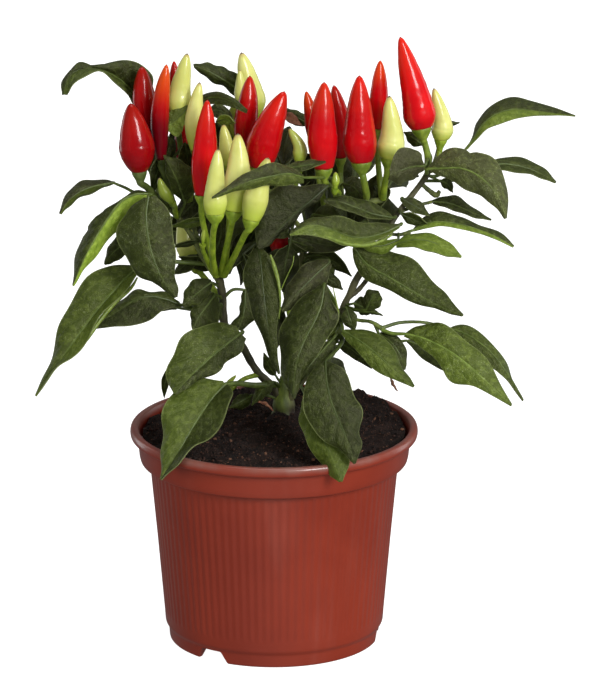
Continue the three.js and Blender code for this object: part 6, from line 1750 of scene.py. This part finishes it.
# Fruits
def fruit_shape(t, fruit, pinch):
    """A fruit's radius as a share of its largest: round at the base, drawn in towards a pointed tip."""
    belly = fruit["belly"]
    foot = fruit["foot"]
    rising = foot + (1 - foot) * np.sin(np.pi / 2 * np.clip(t / belly, 0, 1) ** 0.9)
    share = np.clip((t - belly) / (1 - belly), 0, 1)
    narrowing = np.cos(np.pi / 2 * (0.98 * share) ** fruit["blunt"]) ** 0.8
    narrowing *= 1 - pinch * np.sin(np.pi * share)
    cap = np.sqrt(1 - np.clip((share - TIP_START) / (1 - TIP_START), 0, 1) ** 2)
    base = np.sqrt(1 - (1 - np.clip(t / 0.03, 0, 1)) ** 2)
    return np.where(t < belly, rising, narrowing * cap) * base


def fruit_route(fruit, t):
    """Places on a fruit's middle line, at the shares t of it."""
    spine = along(fruit["spine"], t)
    back = fruit["back"][0] + (fruit["back"][1] - fruit["back"][0]) * t
    return seen(np.column_stack([spine, back]))


def across_ways(route):
    """Two ways square to a route and to each other, without twist."""
    ahead = np.gradient(route, axis=0)
    ahead /= np.linalg.norm(ahead, axis=1)[:, None]
    side = ASKEW - ahead * (ahead @ ASKEW)[:, None]
    side /= np.linalg.norm(side, axis=1)[:, None]
    return side, np.cross(ahead, side)


def between(t, steps, rows):
    """Rows that are given at these steps, at the shares t."""
    return np.stack([np.interp(t, steps, column) for column in rows.T], -1)


def fruit_body(name, fruit, index):
    """A ball drawn out along the fruit's spine, slightly uneven round it."""
    deselect()
    bpy.ops.mesh.primitive_uv_sphere_add(segments=FRUIT_COLUMNS, ring_count=FRUIT_RINGS, radius=1)
    piece = named(bpy.context.object, name)
    places = places_of(piece)
    t = np.arccos(np.clip(-places[:, 2], -1, 1)) / np.pi
    turn = np.arctan2(places[:, 1], places[:, 0])
    steps = np.linspace(0, 1, SPINE_POINTS)
    route = fruit_route(fruit, steps)
    centre, side, other = (between(t, steps, rows) for rows in (route, *across_ways(route)))
    draw = random.Random(index)
    phases = [draw.uniform(0, math.tau) for _ in range(4)]
    uneven = 1 + 0.022 * np.sin(2 * turn + phases[0] + 2 * t) + 0.014 * np.sin(3 * turn + phases[1])
    uneven += 0.012 * np.sin(9 * t + phases[2]) * np.sin(turn + phases[3])
    uneven -= 0.03 * eased(t, 0.2, 0.02) * (0.5 + 0.5 * np.cos(5 * turn + phases[0]))
    swells = [noise.noise(Vector(place) * 2.6 + Vector((index, 0, 0))) for place in places * (1, 1, 3)]
    uneven += 0.03 * np.array(swells)
    pinch = RED_PINCH if "red" in name else YELLOW_PINCH
    radius = fruit["radius"] * MM * fruit_shape(t, fruit, pinch) * uneven
    round_it = side * np.cos(turn)[:, None] + other * np.sin(turn)[:, None]
    set_places(piece, centre + round_it * radius[:, None])
    smooth(piece)
    return piece


def make_fruit(fruit, index):
    piece = fruit_body(fruit["name"] + "_skin", fruit, index)
    if "red" in fruit["name"]:
        # Painted light and shade on the skin: darker for a fruit in shade, and darker towards the base
        for name in ("warm", "painted_light", "deep"):
            paint_points(piece, name, fruit[name])
        wear(piece, RED_SKIN)
        finished(piece, "fruit_red", fruit["name"])
    else:
        paint_points(piece, "green", fruit["green"])
        wear(piece, YELLOW_SKIN)
        finished(piece, "fruit_yellow", fruit["name"])


def make_young_fruits():
    """Buds as one piece, and the small ripe fruit as another."""
    young = []
    for index, bud in enumerate(BUDS):
        body = fruit_body(f"bud_{index}", bud, 50 + index)
        if "ripe" in bud:
            paint_points(body, "warm", 0.0)
            # Painted light and shade: how light the ripe fruit's skin is painted
            paint_points(body, "painted_light", bud["ripe"])
            wear(body, RED_SKIN)
            finished(named(body, "small_red_fruit"), "fruit_red", "stem")
            continue
        paint_points(body, "green", bud["green"])
        young.append(body)
    piece = join("young_fruits", young)
    wear(piece, YELLOW_SKIN)
    finished(piece, "fruit_yellow", "stem")


# Stalks, calyxes and stems
def stalk_sizes(fruit):
    """A fruit's stalk radius, its calyx's radius and its calyx's length, in millimetres."""
    rim = fruit["foot"] + 0.03
    return 1.05 + 0.08 * fruit["radius"], rim * fruit["radius"], 2.4 + 0.34 * fruit["radius"]


def base_and_way(fruit):
    """The middle of a fruit's base, and the way the fruit starts from it."""
    ends = fruit_route(fruit, np.array([0, 0.1]))
    way = ends[1] - ends[0]
    return ends[0], way / np.linalg.norm(way)


def stalk_route(fruit):
    """A fruit's stalk from its branch into the calyx, with its radii."""
    slim, _, length = stalk_sizes(fruit)
    base, way = base_and_way(fruit)
    neck = [base - way * length * MM, base - way * 0.4 * length * MM]
    points = np.vstack([seen(fruit["stalk"]), neck])
    t = np.linspace(0, 1, STALK_POINTS)
    radii = slim * (1.12 - 0.2 * np.sin(np.pi * np.clip(t * 1.1, 0, 1))) * MM
    radii *= 1 + 0.35 * eased(t, 0.72, 1)
    return along(points, t), radii


def unit_calyx():
    """A smooth cup with five faint ridges: from the stalk at height 0 to the rim, radius 1, at 1."""
    def place(s, t):
        turn = np.pi * s
        ridge = np.cos(CALYX_RIDGES * turn)
        flare = np.interp(t, CALYX_SHARES, CALYX_FLARE) * (1 + 0.03 * ridge)
        rise = np.interp(t, CALYX_SHARES, CALYX_RISE) + 0.1 * eased(t, 0.7, 1) * np.maximum(0, ridge)
        return np.stack([flare * np.cos(turn), flare * np.sin(turn), rise], -1)

    cup = sheet("calyx", *CALYX_GRID, place)
    merge_doubles(cup, 1e-4)
    apply_modifier(cup, "SOLIDIFY", thickness=0.08, offset=-1)
    smooth(cup, 70)
    return cup


def make_calyxes():
    """A cup under each fruit and bud, as one piece."""
    master = unit_calyx()
    cups = []
    for fruit in FRUITS + BUDS:
        _, rim, length = stalk_sizes(fruit)
        base, way = base_and_way(fruit)
        side = Vector(way).orthogonal().normalized()
        other = Vector(way).cross(side)
        foot = Vector(base - way * length * MM)
        columns = [side * rim * MM, other * rim * MM, Vector(way) * length * MM, foot]
        cup = placed("calyx", master.data.copy())
        cup.data.transform(Matrix([[*(c[k] for c in columns)] for k in range(3)] + [[0, 0, 0, 1]]))
        paint_points(cup, "fresh", fruit["fresh"])
        cups.append(cup)
    bpy.data.objects.remove(master)
    piece = join("calyxes", cups)
    wear(piece, GREEN_STALK)
    finished(piece, "stem", "stem")


def make_stalks():
    """The stalks of all fruits and buds, as one piece."""
    rods = []
    for index, fruit in enumerate(FRUITS + BUDS):
        rod = tubes(f"stalk_{index}", [stalk_route(fruit)])
        paint_points(rod, "fresh", fruit["fresh"])
        rods.append(rod)
    piece = join("fruit_stalks", rods)
    wear(piece, GREEN_STALK)
    finished(piece, "stem", "stem")


def make_branches():
    """The trunk and all branches, slightly knobbly."""
    rods = []
    for index, (places, green) in enumerate(zip(BRANCHES, BRANCH_GREENS)):
        t = np.linspace(0, 1, 10 * len(places))
        curve = along(places, t)
        uneven = 1 + 0.05 * np.sin(37 * t + index) + 0.04 * np.sin(83 * t)
        rod = tubes(f"branch_{index}", [(seen(curve), curve[:, 3] * uneven * MM)])
        paint_points(rod, "fresh", green)
        rods.append(rod)
    shares = np.linspace(0, 1, 24)
    foot = along(TRUNK_FOOT, shares)
    knobs = 1 + 0.03 * np.sin(31 * shares) + 0.02 * np.sin(53 * shares + 1)
    trunk = tubes("trunk", [(foot[:, :3] * MM, foot[:, 3] * knobs * MM)], resolution=4)
    places = places_of(trunk) / MM
    paint_points(trunk, "fresh", 1 - 0.7 * eased(places[:, 0], GREEN_END, BROWN_START))
    paint_points(trunk, "foot_darkening", 0.85 * eased(places[:, 2], DARKENING_TOP, DARKENING_FOOT))
    piece = join("branches", [*rods, trunk])
    wear(piece, STEM_BARK)
    finished(piece, "stem", "stem")


# Studio
def soft_light(name, place, aim, size, power, glossy):
    """A soft box aimed at a height on the pot's axis."""
    data = bpy.data.lights.new(name, "AREA")
    data.shape = "RECTANGLE"
    data.size, data.size_y = size
    data.energy = power
    light = placed(name, data)
    light.visible_glossy = glossy
    light.location = place
    way = Vector((0, 0, aim)) - Vector(place)
    light.rotation_euler = way.to_track_quat("-Z", "Y").to_euler()


def make_studio():
    """A white floor that throws no light on the plant, in a dim white room with soft boxes."""
    deselect()
    bpy.ops.mesh.primitive_plane_add(size=FLOOR_SIZE, location=(0, 0, 0))
    floor = named(bpy.context.object, "floor")
    floor.visible_diffuse = False
    floor.visible_glossy = False
    floor.visible_shadow = False
    white = Paint("floor_white").finish(
        Base_Color=(0.3, 0.3, 0.3),
        Roughness=1.0,
        Emission_Color=(1, 1, 1),
        Emission_Strength=1,
    )
    wear(floor, white)
    world = bpy.data.worlds.new("studio")
    bpy.context.scene.world = world
    world.use_nodes = True
    back = world.node_tree.nodes["Background"]
    back.inputs["Color"].default_value = (1, 1, 1, 1)
    back.inputs["Strength"].default_value = AMBIENT
    for name, row in LIGHTS.items():
        soft_light(name, *row)
    bpy.context.scene.view_settings.view_transform = "Standard"


def make_camera():
    data = bpy.data.cameras.new("camera")
    data.sensor_width = SENSOR
    data.lens = SENSOR * SIGHT_DISTANCE * PIXELS_PER_MM / PICTURE_HEIGHT
    data.clip_start = 0.1
    data.clip_end = 50
    camera = placed("camera", data)
    target = Vector((SIGHT_ACROSS, 0, SIGHT_HEIGHT)) * MM
    back = Vector((0, -SIGHT_COS, SIGHT_SIN))
    camera.location = target + back * SIGHT_DISTANCE * MM
    camera.rotation_euler = (-back).to_track_quat("-Z", "Y").to_euler()
    bpy.context.scene.camera = camera


make_studio()
make_camera()
make_pot()
make_soil()
make_crumbs()
make_fibres()
make_branches()
make_stalks()
make_calyxes()
make_young_fruits()
make_stem_leaves()
make_shade_leaves()
make_rolled_edges()
make_scraps()
for number, fruit in enumerate(FRUITS):
    make_fruit(fruit, number)
for number, leaf in enumerate(LEAVES):
    make_leaf(leaf, number)
